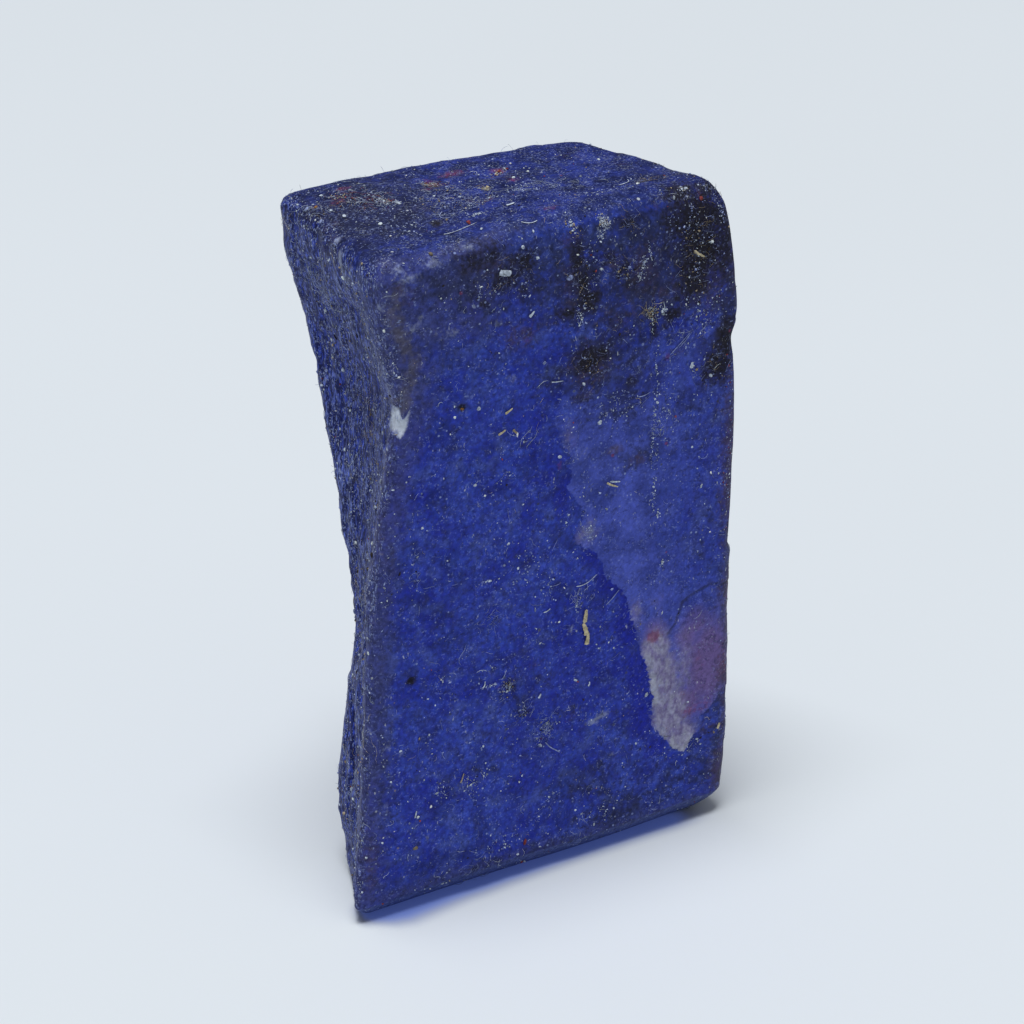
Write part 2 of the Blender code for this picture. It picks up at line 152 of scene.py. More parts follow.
# Soft-edged patches: centre in X, Y and Z, reach in X, Y and Z, strength. Short rows
# lie on the front and leave Y out: it is 0 there, with the usual reach.
FRONT_REACH_Y_MM = 2.0
PATCHES_MM = {
    "pale": ((20.1, 13.8, 1.25, 1.9, 1.15), (20.6, 11.4, 1.35, 2.6, 1.2),
        (21.3, 8.8, 1.5, 2.2, 1.2), (22.2, 6.6, 1.2, 1.6, 1.2), (14.9, 23.8, 1.2, 1.3, 0.5),
        (13.5, 31, 0.9, 1.8, 0.5), (18.5, 17, 0.8, 1.6, 0.6), (17, 29, 1, 0.5, 0.5),
        (22.2, 12.2, 1.1, 2.9, 0.65), (20.2, 17.4, 1.4, 1.2, 0.4)),
    "mauve": ((24.1, 11.8, 1.9, 3.6, 1.2), (22.8, 9.4, 1.4, 1.8, 0.9),
        (23.2, 14.8, 1.5, 1.8, 0.8), (25.9, 15, 0.9, 2.8, 0.8), (20, 15.4, 1.2, 0.9, 0.7),
        (22.6, 14.2, 1.3, 1.7, 0.85)),
    "blush": ((19.9, 14.9, 0.65, 0.5, 1.6), (22.2, 9.9, 0.4, 0.5, 0.8),
        (25.4, 11.5, 0.8, 2.4, 0.7), (26, 16.6, 0.7, 1.4, 1.1), (24, 8.6, 0.8, 0.9, 0.7),
        (22.8, 8.5, 0.9, 0.5, 1), (21.1, 10.9, 0.25, 0.3, 0.6), (23.4, 12, 0.6, 1.9, 0.5),
        (9.1, 9, 45.3, 0.35, 0.7, 1, 1.2), (10.8, 9.6, 45.3, 1, 0.4, 1, 1),
        (13.6, 8.7, 45.3, 0.6, 0.5, 1, 1.2), (13.6, 6.8, 45.3, 0.5, 0.4, 1, 1),
        (3.9, 10.5, 45.3, 0.6, 0.4, 1, 1.1), (2.8, 9.2, 45.2, 0.8, 0.4, 1, 0.7),
        (10.7, 4.9, 45.3, 0.6, 0.3, 1, 0.8), (13.2, 1.6, 45.3, 0.7, 0.4, 1, 0.8),
        (8.3, 8, 45.3, 0.5, 0.4, 1, 0.9), (1.4, 9.3, 45.1, 0.4, 0.3, 1, 0.7),
        (14.3, 13.1, 0.16, 0.16, 1.2), (20.6, 0, 34.4, 0.3, 1, 0.35, 1),
        (13, 0, 28.9, 0.3, 1, 0.5, 0.7), (8.7, 0, 14.4, 0.3, 1, 0.2, 0.6),
        (0, 0, 26, 0.4, 1, 2, 0.6), (-1.3, 0, 9.2, 0.35, 1, 0.45, 0.9),
        (23, 0.3, 44.7, 0.3, 0.5, 0.5, 1.2), (2.9, 0.1, 44.9, 0.6, 0.6, 0.3, 0.6),
        (23.6, 0, 1.1, 1.6, 1.5, 0.4, 0.8), (10.6, 0, 38, 0.5, 1, 0.3, 0.6)),
    "brown": ((10.1, 38.4, 1.7, 1.2, 0.9), (17, 28.9, 0.9, 0.4, 0.75), (18.6, 27.9, 1, 0.6, 0.9),
        (14.6, 33.3, 0.9, 0.5, 0.8), (25.7, 26, 1.3, 9, 1.2), (25.8, 15, 0.8, 4, 1.1),
        (25.6, 7, 0.6, 4, 0.9), (1.9, 0.2, 43.2, 0.8, 1, 0.9, 0.8),
        (2.7, 0, 42.6, 0.7, 1, 0.9, 0.7), (0.6, 0, 27, 0.6, 1.5, 3.2, 0.5),
        (25.8, 0.3, 41.5, 1, 2, 4.5, 1.2), (0.5, 6, 44.5, 1, 3, 1.5, 0.5),
        (14, 10, 24, 4, 3, 3, 0.6), (21.2, 34.6, 0.8, 0.5, 0.7), (16.6, 41.9, 0.9, 0.8, 0.8),
        (13.6, 43.9, 1, 0.8, 0.8), (22.6, 0.9, 3, 0.8, 0.8), (14, 10.9, 0.5, 0.5, 0.8),
        (11.2, 15.4, 0.9, 0.7, 0.5), (-0.6, 4.5, 0.9, 3, 0.7), (17, 38.2, 2.2, 1.6, 0.6),
        (19.6, 0, 44.6, 0.9, 1.4, 0.5, 0.6), (23.6, 38.6, 1.8, 3.6, 0.8),
        (13.8, 40.8, 1.3, 3.2, 0.7), (15, 35.3, 2.2, 1.6, 0.85),
        (8.6, 0, 43.4, 2.2, 1.6, 1, 0.7), (18.6, 40.8, 1.6, 2.4, 0.8),
        (12.4, 38.8, 1.2, 0.6, 0.5), (20.4, 39, 2.2, 1.2, 0.7),
        (10.8, 9.6, 45.2, 1.4, 0.6, 1, 0.9), (10.7, 4.9, 45.2, 0.8, 0.5, 1, 0.9),
        (9.9, 5.5, 45.2, 0.4, 0.5, 1, 0.9), (13.2, 1.8, 45.2, 1.2, 0.5, 1, 0.8),
        (2.8, 9.2, 45.2, 1.6, 0.7, 1, 0.65), (3.9, 7.8, 45.2, 1.4, 0.6, 1, 0.6),
        (1.5, 7.1, 45, 0.8, 0.6, 1, 0.6), (8.9, 8.3, 45.2, 0.8, 0.5, 1, 0.9),
        (13.6, 7.6, 45.2, 1.1, 1.2, 1, 0.6), (6.5, 6, 45.2, 2.2, 1, 1, 0.5),
        (18.5, 8.6, 45, 2.2, 0.9, 1, 0.5), (21, 6, 44.6, 1.2, 2.2, 1, 0.5),
        (26.1, 16.8, 1.7, 2.6, 1.3), (25.8, 10.2, 1.3, 2.4, 1.2), (24.2, 6.8, 1.2, 1.4, 0.7),
        (25.4, 3.4, 1.2, 2.2, 1.3)),
    "grime": ((20, 0, 40.5, 7, 2.5, 5, 1.05), (14, 0, 41, 4.5, 2.5, 4, 0.95),
        (16, 0, 35.5, 4.5, 2.5, 2.8, 0.95), (25.3, 0, 36, 2.2, 2.5, 7, 0.85),
        (9.5, 41.8, 4.5, 3, 0.7), (25.9, 0, 20, 1.1, 2.5, 16, 0.8), (18.3, 28.4, 3, 1.6, 0.65),
        (25.3, 5, 2, 4, 0.7), (9.5, 13.5, 1.6, 1.6, 0.6), (13.2, 11.6, 1.6, 1, 0.45),
        (12, 1, 14, 1.3, 0.75), (0.2, 1, 12, 1.3, 1.6, 9, 0.6),
        (2.2, 0.5, 39.5, 2.4, 2, 5, 0.45), (1.2, 3, 45, 2.2, 3.5, 1.2, 0.7),
        (4, 7, 45, 5, 4.8, 2, 1.4), (23, 4, 45, 3.5, 4, 2, 0.5), (22.4, 3.2, 4.6, 2.8, 0.55),
        (18, 2.6, 4.4, 2, 0.8), (14, 10, 24, 5, 3, 4, 0.7), (23.8, 22, 1.8, 5, 0.45),
        (22.6, 30, 3, 3.6, 0.5), (18.6, 43.2, 5, 2.4, 0.9), (6, 42.6, 5, 2.6, 0.75),
        (26, 6, 34, 2, 3, 6, 0.7), (24, 6, 10, 2, 4, 5, 0.6), (15.4, 5.6, 3.2, 2.4, 0.7),
        (17.2, 32.2, 2.8, 1.8, 0.85)),
    "stain": ((22.6, 43.4, 2.5, 2.2, 1.2), (22.9, 41.2, 2, 2.2, 1.25),
        (24.6, 0.4, 41.6, 1.1, 2, 3.6, 1), (20.6, 43.6, 1, 0.9, 0.8),
        (22.4, 39.2, 1.4, 1.5, 1.1), (21.7, 0.4, 45, 1.4, 1.3, 1, 1.1),
        (23.6, 0.3, 44.9, 1.2, 1.3, 1, 1), (24.3, 33.1, 1.1, 1.5, 1.2),
        (24.9, 34.6, 0.85, 1.7, 1.25), (23.4, 32.4, 0.6, 0.8, 0.9), (14.1, 42.7, 0.6, 1.6, 1),
        (14.5, 40.8, 0.65, 1.4, 1), (14.9, 39.6, 1, 0.9, 1.15), (13.5, 39.1, 1, 0.5, 0.9),
        (15, 35.7, 1.3, 1.2, 1.1), (15.9, 35.9, 0.8, 0.9, 0.8), (14.2, 35.8, 0.8, 1, 0.8),
        (14.6, 34, 0.9, 0.9, 0.6), (17.3, 41.2, 0.7, 0.6, 0.8), (17.9, 40.2, 0.7, 0.7, 0.75),
        (16.4, 42.2, 0.9, 0.6, 0.7), (17.7, 44.2, 0.8, 0.6, 0.75), (19.3, 37.7, 0.7, 0.5, 0.8),
        (19.6, 36.6, 0.35, 0.9, 0.9), (20.9, 37.3, 0.9, 0.6, 1.05), (21.2, 38.3, 0.4, 0.3, 1),
        (20.4, 36.6, 0.6, 0.4, 0.7), (18.1, 33.5, 0.5, 0.9, 0.75),
        (10.4, 0, 43.3, 1.2, 1.6, 1.2, 0.9), (8.3, 0.2, 44.2, 1.8, 1.6, 1, 0.75),
        (7.2, 0.2, 43.9, 1.7, 1.6, 0.9, 0.8), (9.2, 0, 42.3, 2, 1.6, 1.2, 0.65),
        (10.6, 0, 41.5, 1.1, 1.6, 1, 0.6), (24, 1.2, 44.6, 1.4, 1.6, 1, 0.95),
        (23, 2.4, 45, 1.2, 1.2, 1, 0.6), (7.7, 0, 41, 0.4, 1.6, 0.35, 0.8),
        (12.5, 35.2, 1.2, 0.45, 0.5), (14.6, 33.1, 0.7, 0.5, 0.75), (16.2, 38, 1.2, 0.8, 0.5),
        (19.2, 39.6, 1, 0.7, 0.55), (20.6, 42.2, 0.8, 1.5, 0.6),
        (2.45, 0, 16.6, 0.3, 1, 0.3, 1.6), (6.6, 3.8, 45.2, 0.45, 0.45, 1, 1.3),
        (6.2, 0, 34.5, 0.28, 1, 0.28, 1.15), (1, 9.4, 44.6, 0.8, 1.2, 1, 0.6),
        (22, 11, 37, 2.5, 2.5, 4, 0.9), (8, 10.5, 33, 2.6, 2.5, 3.4, 0.8),
        (15, 10, 7, 3.2, 2.5, 1.9, 0.8), (9.4, 0, 14.2, 0.45, 1, 0.5, 0.9),
        (10.5, 0, 12.1, 0.4, 1, 0.35, 0.75), (14, 0, 11.5, 0.3, 1, 0.5, 0.7),
        (7, 0, 8.9, 0.25, 1, 0.25, 0.8), (12.1, 0, 14.4, 0.6, 1, 0.5, 0.5)),
    "haze": ((1, 0, 40, 4.5, 4, 7, 0.95), (-0.2, 22, 1.6, 16, 0.8), (8, 43.6, 8, 2.4, 1.15),
        (25.9, 20, 1.4, 16, 0.6), (18, 43.8, 6, 1.8, 1), (4, 40, 4, 4, 0.8), (3, 1.2, 6, 2, 0.8),
        (17, 1.5, 8, 1.8, 0.6), (24.5, 4, 2, 3.5, 0.5), (8, 37.5, 4, 2, 0.5),
        (6, 29, 4, 3, 0.25), (3.5, 14, 3, 5, 0.25)),
    "worn": ((15.5, 0, 9.95, 0.55, 1, 0.24, 1.3), (16.2, 0, 10.25, 0.6, 1, 0.26, 1.3),
        (13.8, 0, 17.2, 0.25, 1, 0.3, 1.2), (17, 0, 7.1, 0.5, 1, 0.25, 0.8),
        (0.8, 5.4, 44.6, 0.4, 0.25, 0.35, 1.2), (0.7, 4.7, 43.7, 0.5, 0.3, 0.75, 1.5),
        (0.8, 4.3, 42.7, 0.5, 0.4, 0.7, 1), (1, 0.6, 42.1, 0.35, 0.35, 0.35, 1.1),
        (1.2, 2.5, 40, 0.6, 0.35, 0.8, 0.9), (1.1, 1.8, 39.3, 0.6, 0.35, 0.8, 0.9),
        (1.4, 1, 37.8, 0.4, 0.35, 0.9, 0.9), (1.7, 0.9, 36.4, 0.4, 0.35, 0.8, 0.9),
        (2.1, 0.6, 44.3, 0.5, 1, 0.4, 1), (2.7, 0.2, 43.8, 0.8, 1, 0.35, 1),
        (4.4, 0.3, 44.3, 0.7, 1, 0.3, 0.9), (2.9, 0.1, 40.6, 0.5, 1, 0.35, 1),
        (3.4, 0.1, 41.1, 0.25, 1, 0.4, 0.9), (5.5, 0, 39.6, 0.9, 1, 0.45, 0.7),
        (4.6, 0, 40, 0.6, 1, 0.4, 0.6), (6.9, 0.5, 44.7, 0.6, 0.5, 0.3, 0.9),
        (8.6, 0, 39.6, 0.35, 1, 0.25, 1), (2.3, 0.1, 43, 0.3, 1, 0.3, 0.9),
        (9.6, 0, 35.7, 0.45, 1, 0.35, 0.8), (12.4, 0, 16.9, 0.25, 1, 0.2, 0.8),
        (1.6, 0, 11.7, 0.2, 1, 0.3, 1), (0.7, 0, 12.4, 0.4, 1, 0.35, 0.8),
        (0.5, 0, 8, 0.18, 1, 0.5, 0.9), (3.4, 0, 5, 0.16, 1, 0.5, 0.9),
        (24.6, 0, 4.6, 0.3, 1, 2, 0.5), (13.4, 0, 31.6, 0.5, 1, 1.2, 0.5),
        (14.4, 0, 29.6, 0.7, 1, 0.8, 0.5), (15.1, 0, 23.7, 0.8, 1, 0.9, 0.85)),
    # Where the blue is deepest: beside the pale skin and low on the front.
    "clear": ((17, 20.2, 1.5, 1.8, 1.1), (15.2, 22, 1.2, 1.2, 0.9), (18.1, 16.6, 1.3, 2.6, 1.2),
        (19, 12.4, 1.2, 2.6, 1.2), (19.2, 9, 1.2, 2, 1.1), (13.3, 26.6, 0.9, 1.8, 0.9),
        (12.6, 30, 0.8, 2, 0.6), (14, 16, 5, 7, 0.55), (20.3, 6.6, 1.2, 1.2, 0.8),
        (13, 33.6, 1.5, 0.9, 0.6), (11.6, 32.4, 1.1, 1.7, 0.7)),
}
# Pits of the front: X and height of the middle, radius, depth.
PITS_MM = (
    (2.45, 16.6, 0.3, 0.2), (6.1, 34.6, 0.3, 0.14), (9.5, 14.1, 0.45, 0.1),
    (13.9, 12.7, 0.3, 0.1), (6.6, 24.8, 0.35, 0.07), (11.6, 20.9, 0.4, 0.07),
    (4.6, 8.7, 0.4, 0.08), (8.2, 29.4, 0.5, 0.06), (20.2, 41.6, 0.4, 0.1),
    (16.9, 6, 0.45, 0.07), (23.4, 24.6, 0.45, 0.06), (10.4, 5.2, 0.35, 0.07))
CHIP_DEPTH = 0.22 * MM


def ramp(low, high, value):
    """Rise smoothly from 0 at low to 1 at high."""
    t = np.clip((value - low) / (high - low), 0.0, 1.0)
    return t * t * (3.0 - 2.0 * t)


def smooth_curve(knots, values, at):
    """Read a cubic curve through (knots, values) that has the mean slope at each knot."""
    knots = np.asarray(knots, dtype=float)
    values = np.asarray(values, dtype=float)
    at = np.clip(at, knots[0], knots[-1])
    slopes = np.gradient(values, knots)
    left = np.clip(np.searchsorted(knots, at, side="right") - 1, 0, len(knots) - 2)
    width = knots[left + 1] - knots[left]
    t = (at - knots[left]) / width
    return ((2 * t ** 3 - 3 * t ** 2 + 1) * values[left]
            + (t ** 3 - 2 * t ** 2 + t) * width * slopes[left]
            + (3 * t ** 2 - 2 * t ** 3) * values[left + 1]
            + (t ** 3 - t ** 2) * width * slopes[left + 1])


@functools.cache
def lattice(seed, size):
    """Hold a cube of random values from -1 to 1."""
    return np.random.default_rng(seed).uniform(-1.0, 1.0, (size, size, size))


def lattice_noise(points, cell_mm, seed, size=32):
    """Smooth noise from -1 to 1: a lattice's values, blended inside each cell.

    The cell is one size, or one for each axis, and the seed picks the lattice.
    """
    table = lattice(seed, size)
    place = points / (np.asarray(cell_mm) * MM) + 100.0
    base = np.floor(place).astype(int)
    part = place - base
    part = part * part * (3.0 - 2.0 * part)
    total = np.zeros(points.shape[:-1])
    for corner in np.ndindex(2, 2, 2):
        weight = np.prod(np.where(np.array(corner) == 1, part, 1.0 - part), axis=-1)
        index = (base + np.array(corner)) % size
        total += weight * table[index[..., 0], index[..., 1], index[..., 2]]
    return total


def perimeter():
    """List the stations round a section: the arris, the turn round it, the way after it."""
    arris, turned, gone = [], [], []
    for k, steps in enumerate(WALL_STEPS):
        arris += [k] * (ARRIS_STEPS + steps)
        turned += list(np.linspace(0.0, 1.0, ARRIS_STEPS, endpoint=False)) + [1.0] * steps
        gone += [0.0] * ARRIS_STEPS + list(np.linspace(0.0, 1.0, steps, endpoint=False))
    return np.array(arris), np.array(turned), np.array(gone)


def round_the_rim(values_mm, arris, gone):
    """Spread values given at each arris and along each wall over the stations."""
    turns = np.arange(-1, 6)
    knots = (turns[:, None] + np.array(RIM_SHARES)).ravel()
    values = np.array(values_mm).reshape(4, -1)[turns % 4].ravel()
    return smooth_curve(knots, values, arris + gone) * MM


def section(heights, insets, arris, turned, gone):
    """Place every station on the section at its own height, drawn in by its own inset.

    The section has four corners. A bend is the quadratic curve from one wall to the next
    that is pulled towards its corner, and a wall is a straight line plus a parabola.
    """
    level = heights / MM
    corners = np.stack([np.stack([smooth_curve(a["z"], a[axis], level) for axis in "xy"],
                                 axis=-1) for a in ARRISES_MM], axis=-2) * MM
    run = np.roll(corners, -1, axis=-2) - corners
    run /= np.linalg.norm(run, axis=-1, keepdims=True)
    inward = np.stack([-run[..., 1], run[..., 0]], axis=-1)
    before = np.roll(inward, 1, axis=-2)
    opening = 1.0 + np.sum(inward * before, axis=-1, keepdims=True)
    corners = corners + insets[..., None, None] * (inward + before) / opening
    reach = np.stack([smooth_curve(ROUNDING_Z_MM, row, level) for row in ROUNDING_MM],
                     axis=-1) * MM
    reach = np.maximum(reach - 0.6 * insets[..., None], 0.35 * reach)[..., None]
    leave = corners + run * reach
    arrive = corners - np.roll(run, 1, axis=-2) * reach
    places = np.empty(heights.shape + (3,))
    places[..., 2] = heights
    for k in range(4):
        on_bend = (arris == k) & (turned < 1.0)
        t = turned[on_bend][:, None]
        places[:, on_bend, :2] = ((1 - t) ** 2 * arrive[:, on_bend, k]
                                  + 2 * t * (1 - t) * corners[:, on_bend, k]
                                  + t ** 2 * leave[:, on_bend, k])
        on_wall = (arris == k) & (turned == 1.0)
        t = gone[on_wall][:, None]
        bow = smooth_curve(BOW_Z_MM, BOW_MM[k], level[:, on_wall])[..., None] * MM
        places[:, on_wall, :2] = ((1 - t) * leave[:, on_wall, k]
                                  + t * arrive[:, on_wall, (k + 1) % 4]
                                  - 4 * t * (1 - t) * bow * inward[:, on_wall, k])
    return places


def plain_form():
    """Make the stone without relief: rings from the foot to the middle of the top."""
    arris, turned, gone = perimeter()
    top = round_the_rim(TOP_HEIGHT_MM, arris, gone)
    foot_lift = round_the_rim(FOOT_LIFT_MM, arris, gone)
    foot_inset = round_the_rim(FOOT_INSET_MM, arris, gone)
    top_fillet = round_the_rim(TOP_FILLET_MM, arris, gone)
    turn = np.linspace(0.0, np.pi / 2, FOOT_RINGS + 1)[:, None]
    foot_rings = foot_lift * (1 - np.cos(turn) ** UNDERCUT_POWER)
    foot_insets = foot_inset * (1 - np.sin(turn) ** UNDERCUT_POWER)
    climb = np.linspace(0.0, 1.0, WALL_RINGS + 2)[1:-1, None]
    wall_rings = foot_lift + climb * (top - top_fillet - foot_lift)
    turn = np.linspace(0.0, np.pi / 2, TOP_FILLET_RINGS + 1)[:, None]
    top_rings = top - top_fillet * (1 - np.sin(turn))
    top_insets = top_fillet * (1 - np.cos(turn))
    heights = np.concatenate([foot_rings, wall_rings, top_rings])
    insets = np.concatenate([foot_insets, np.zeros_like(wall_rings), top_insets])
    walls = section(heights, insets, arris, turned, gone)
    rim = walls[-1]
    centre = rim.mean(axis=0)
    shrink = (1.0 - np.arange(1, TOP_FACE_RINGS + 1) / (TOP_FACE_RINGS + 0.6))[:, None, None]
    return np.concatenate([walls, centre + shrink * (rim - centre)])


def grid_normals(places):
    """Give the outward normal at each point, from its neighbours on the grid."""
    round_it = np.roll(places, -1, axis=1) - np.roll(places, 1, axis=1)
    up_it = np.gradient(places, axis=0)
    normal = np.cross(round_it, up_it)
    return normal / np.maximum(np.linalg.norm(normal, axis=-1, keepdims=True), 1e-15)


def facing(normals):
    """Give how much each point belongs to the front, left, back, right and top."""
    return {"front": ramp(0.3, 0.9, -normals[..., 1]),
            "left": ramp(0.3, 0.9, -normals[..., 0]),
            "back": ramp(0.3, 0.8, normals[..., 1]),
            "right": ramp(0.3, 0.8, normals[..., 0]),
            "top": ramp(0.4, 0.9, normals[..., 2])}


def broad_relief(places, side):
    """Add up the relief that the solid has too: waves, striations, ledges and lumps."""
    x, y, z = np.moveaxis(places, -1, 0)
    waves = WALL_WAVE * (0.6 * lattice_noise(places, (5.5, 5.5, 7.0), 3)
                         + 0.4 * lattice_noise(places, (2.4, 2.4, 2.8), 5))
    ripples = TOP_WAVE * side["top"] * (0.6 * lattice_noise(places, (7.0, 2.2, 9.0), 7)
                                        + 0.4 * lattice_noise(places, (2.6, 1.4, 9.0), 9))
    streaks = STRIATION * (side["left"] + 0.8 * side["back"] + 0.6 * side["right"]) * (
        0.7 * lattice_noise(places, (1.7, 1.7, 12.0), 11)
        + 0.3 * lattice_noise(places, (1.1, 1.1, 4.0), 13))
    sheet_left = (6.5 + 0.9 * np.sin(z / (5.1 * MM))) * MM - 0.1 * (z - 20.0 * MM)
    sheet_right = (15.5 + 0.8 * np.sin(z / (4.3 * MM) + 1.0)) * MM + 0.06 * z
    sheet_low = (7.5 + 0.7 * np.sin(x / (1.3 * MM))) * MM + 0.25 * (x - 10.0 * MM)
    sheet = (ramp(-0.5 * MM, 0.5 * MM, x - sheet_left)
             * ramp(-0.5 * MM, 0.5 * MM, sheet_right - x)
             * ramp(-0.6 * MM, 0.6 * MM, z - sheet_low)
             * ramp(43.5 * MM, 38.0 * MM, z))
    scar = np.exp(-((x - 10.5 * MM) / (5.0 * MM)) ** 2 - ((z - 35.5 * MM) / (4.2 * MM)) ** 2)
    step = ramp(-0.6 * MM, 0.6 * MM, z - 24.0 * MM - 0.9 * (y - 5.0 * MM))
    lump = np.exp(-((z - 10.0 * MM) / (6.0 * MM)) ** 2) * ramp(2.5 * MM, 6.0 * MM, y)
    ledges = (CLEAVAGE_STEP * side["back"] * (sheet - 1.1 * scar)
              - 0.8 * CLEAVAGE_STEP * side["right"] * step
              + 0.25 * MM * side["left"] * lump)
    return waves + ripples + streaks + ledges


def distance_to_line(x, z, line_mm, closed=False):
    """Give the distance in millimetres from each (x, z) to a line of straight runs."""
    ends = np.array(line_mm)
    starts = np.roll(ends, 1, axis=0) if closed else ends[:-1]
    ends = ends if closed else ends[1:]
    best = np.full(x.shape, np.inf)
    for (ax, az), (bx, bz) in zip(starts, ends):
        t = ((x - ax) * (bx - ax) + (z - az) * (bz - az)) / ((bx - ax) ** 2 + (bz - az) ** 2)
        t = np.clip(t, 0.0, 1.0)
        best = np.minimum(best, np.hypot(x - ax - t * (bx - ax), z - az - t * (bz - az)))
    return best


def depth_inside(x, z, outline_mm):
    """Give the distance in millimetres to an outline, above zero inside it."""
    inside = np.zeros(x.shape, dtype=bool)
    outline = np.array(outline_mm)
    for (ax, az), (bx, bz) in zip(np.roll(outline, 1, axis=0), outline):
        crosses = (az > z) != (bz > z)
        where = ax + (z - az) * (bx - ax) / (bz - az + 1e-12)
        inside ^= crosses & (x < where)
    return np.where(inside, 1.0, -1.0) * distance_to_line(x, z, outline_mm, closed=True)


def patches(points_mm, spots):
    """Give the strongest soft spot: strength times e to the minus squared scaled distance."""
    strongest = np.zeros(points_mm.shape[:-1])
    for spot in spots:
        if len(spot) == 5:
            x, z, reach_x, reach_z, strength = spot
            spot = x, 0.0, z, reach_x, FRONT_REACH_Y_MM, reach_z, strength
        away = np.sum(((points_mm - spot[:3]) / spot[3:6]) ** 2, axis=-1)
        strongest = np.maximum(strongest, spot[6] * np.exp(-away))
    return strongest


def edge_band(x, y, z):
    """Give the worn band by the front left arris, above the foot's lip and upper left."""
    arris_x = smooth_curve(ARRISES_MM[0]["z"], ARRISES_MM[0]["x"], z)
    reach = 2.8 + 1.8 * ramp(33.0, 38.0, z)
    beside = ramp(reach, 0.3, np.abs(x - arris_x - 0.2)) * ramp(2.4, 0.6, y)
    low = ramp(3.0, 1.3, z) * ramp(1.2, 0.4, y)
    high = ramp(37.5, 40.5, z) * ramp(12.5, 7.0, x) * ramp(1.6, 0.6, y)
    return np.maximum(np.maximum(beside, 0.9 * low), 0.85 * high)


def skin_fields(places, side):
    """Work out the fields that the stone's material reads, one value for each point."""
    mm = places / MM
    x, y, z = np.moveaxis(mm, -1, 0)
    pale_skin = np.minimum(depth_inside(x, z, PALE_SKIN_OUTLINE_MM),
                           3.0 * (side["front"] - 0.35))
    near_front = ramp(2.2, 0.8, y)
    arris = 1.0 - np.max(np.stack(list(side.values())), axis=0)
    return {
        "thin_skin": np.maximum(0.75 * ramp(18.5, 23.0, x) * ramp(14.5, 18.5, z),
                                0.7 * ramp(28.5, 33.0, z)),
        "pale_skin": pale_skin,
        "crack": near_front * ramp(0.22, 0.0, distance_to_line(x, z, CRACK_MM)),
        "groove": near_front * ramp(0.95, 0.1, distance_to_line(x, z, GROOVE_MM)),
        "chip": near_front * ramp(-0.1, 0.2, depth_inside(x, z, CHIP_OUTLINE_MM)),
        **{name: patches(mm, spots) for name, spots in PATCHES_MM.items()},
        "band": edge_band(x, y, z),
        "upright": np.clip(side["left"] + 0.45 * side["back"] + 0.8 * side["right"], 0.0, 1.0),
        "top": side["top"],
        "arris": arris,
    }


ReliefHeights = collections.namedtuple("ReliefHeights", "peel streak stroke overlay")


def fine_relief(places, side, fields, heights):
    """Add up the relief that only the fine skin has, in metres along the normal."""
    x, y, z = np.moveaxis(places / MM, -1, 0)
    fine = functools.partial(lattice_noise, places, size=64)
    peel = heights.peel * (0.45 * fine(1.1, 21)
                           + 0.35 * fine((0.55, 0.55, 0.6), 22)
                           + 0.3 * fine(0.3, 23))
    upright = side["left"] + 0.8 * side["back"] + 0.8 * side["right"]
    ribs = 1.0 - 2.0 * np.abs(fine((0.8, 0.8, 5.0), 24))
    streaks = heights.streak * upright * (0.6 * ribs + 0.4 * fine((0.4, 0.4, 2.2), 25)
                                          + 0.4 * fine((0.5, 0.5, 0.7), 31))
    strokes = heights.stroke * side["top"] * (0.6 * fine((2.2, 0.55, 9.0), 26)
                                              + 0.5 * fine((0.9, 0.35, 9.0), 27))
    edge = fields["pale_skin"] + 0.22 * fine(0.35, 28)
    pale_skin = heights.overlay * ramp(-0.1, 0.14, edge)
    crust = (0.9 * heights.overlay * np.exp(-((edge - 0.3) / 0.35) ** 2)
             * np.clip(fields["pale"], 0, 1) * (1.0 + 1.2 * fine(0.4, 29)))
    crack = -0.6 * heights.overlay * fields["crack"]
    worn = 0.06 * MM * np.clip(fields["worn"], 0, 1) - 0.12 * MM * fields["groove"]
    dents = np.zeros(x.shape)
    for pit_x, pit_z, radius, depth in PITS_MM:
        dents += depth * MM * np.exp(-(((x - pit_x) ** 2 + (z - pit_z) ** 2) / radius ** 2))
    dents *= ramp(0.0, 0.4, side["front"])
    chip = CHIP_DEPTH * fields["chip"]
    trench_y = 4.9 + 0.35 * np.sin(z / 2.1) + 0.12 * (z - 8.0)
    trench = (0.35 * MM * side["left"] * np.exp(-((y - trench_y) / 0.28) ** 2)
              * ramp(1.5, 3.0, z) * ramp(15.0, 12.0, z))
    bites = (0.22 * MM * (fields["arris"] * ramp(20.0, 10.0, x) + 0.5 * side["left"])
             * ramp(0.2, 0.8, fine((0.9, 0.9, 1.3), 30)))
    return (peel + streaks + strokes + pale_skin + crust + crack + worn
            - dents - chip - bites - trench)


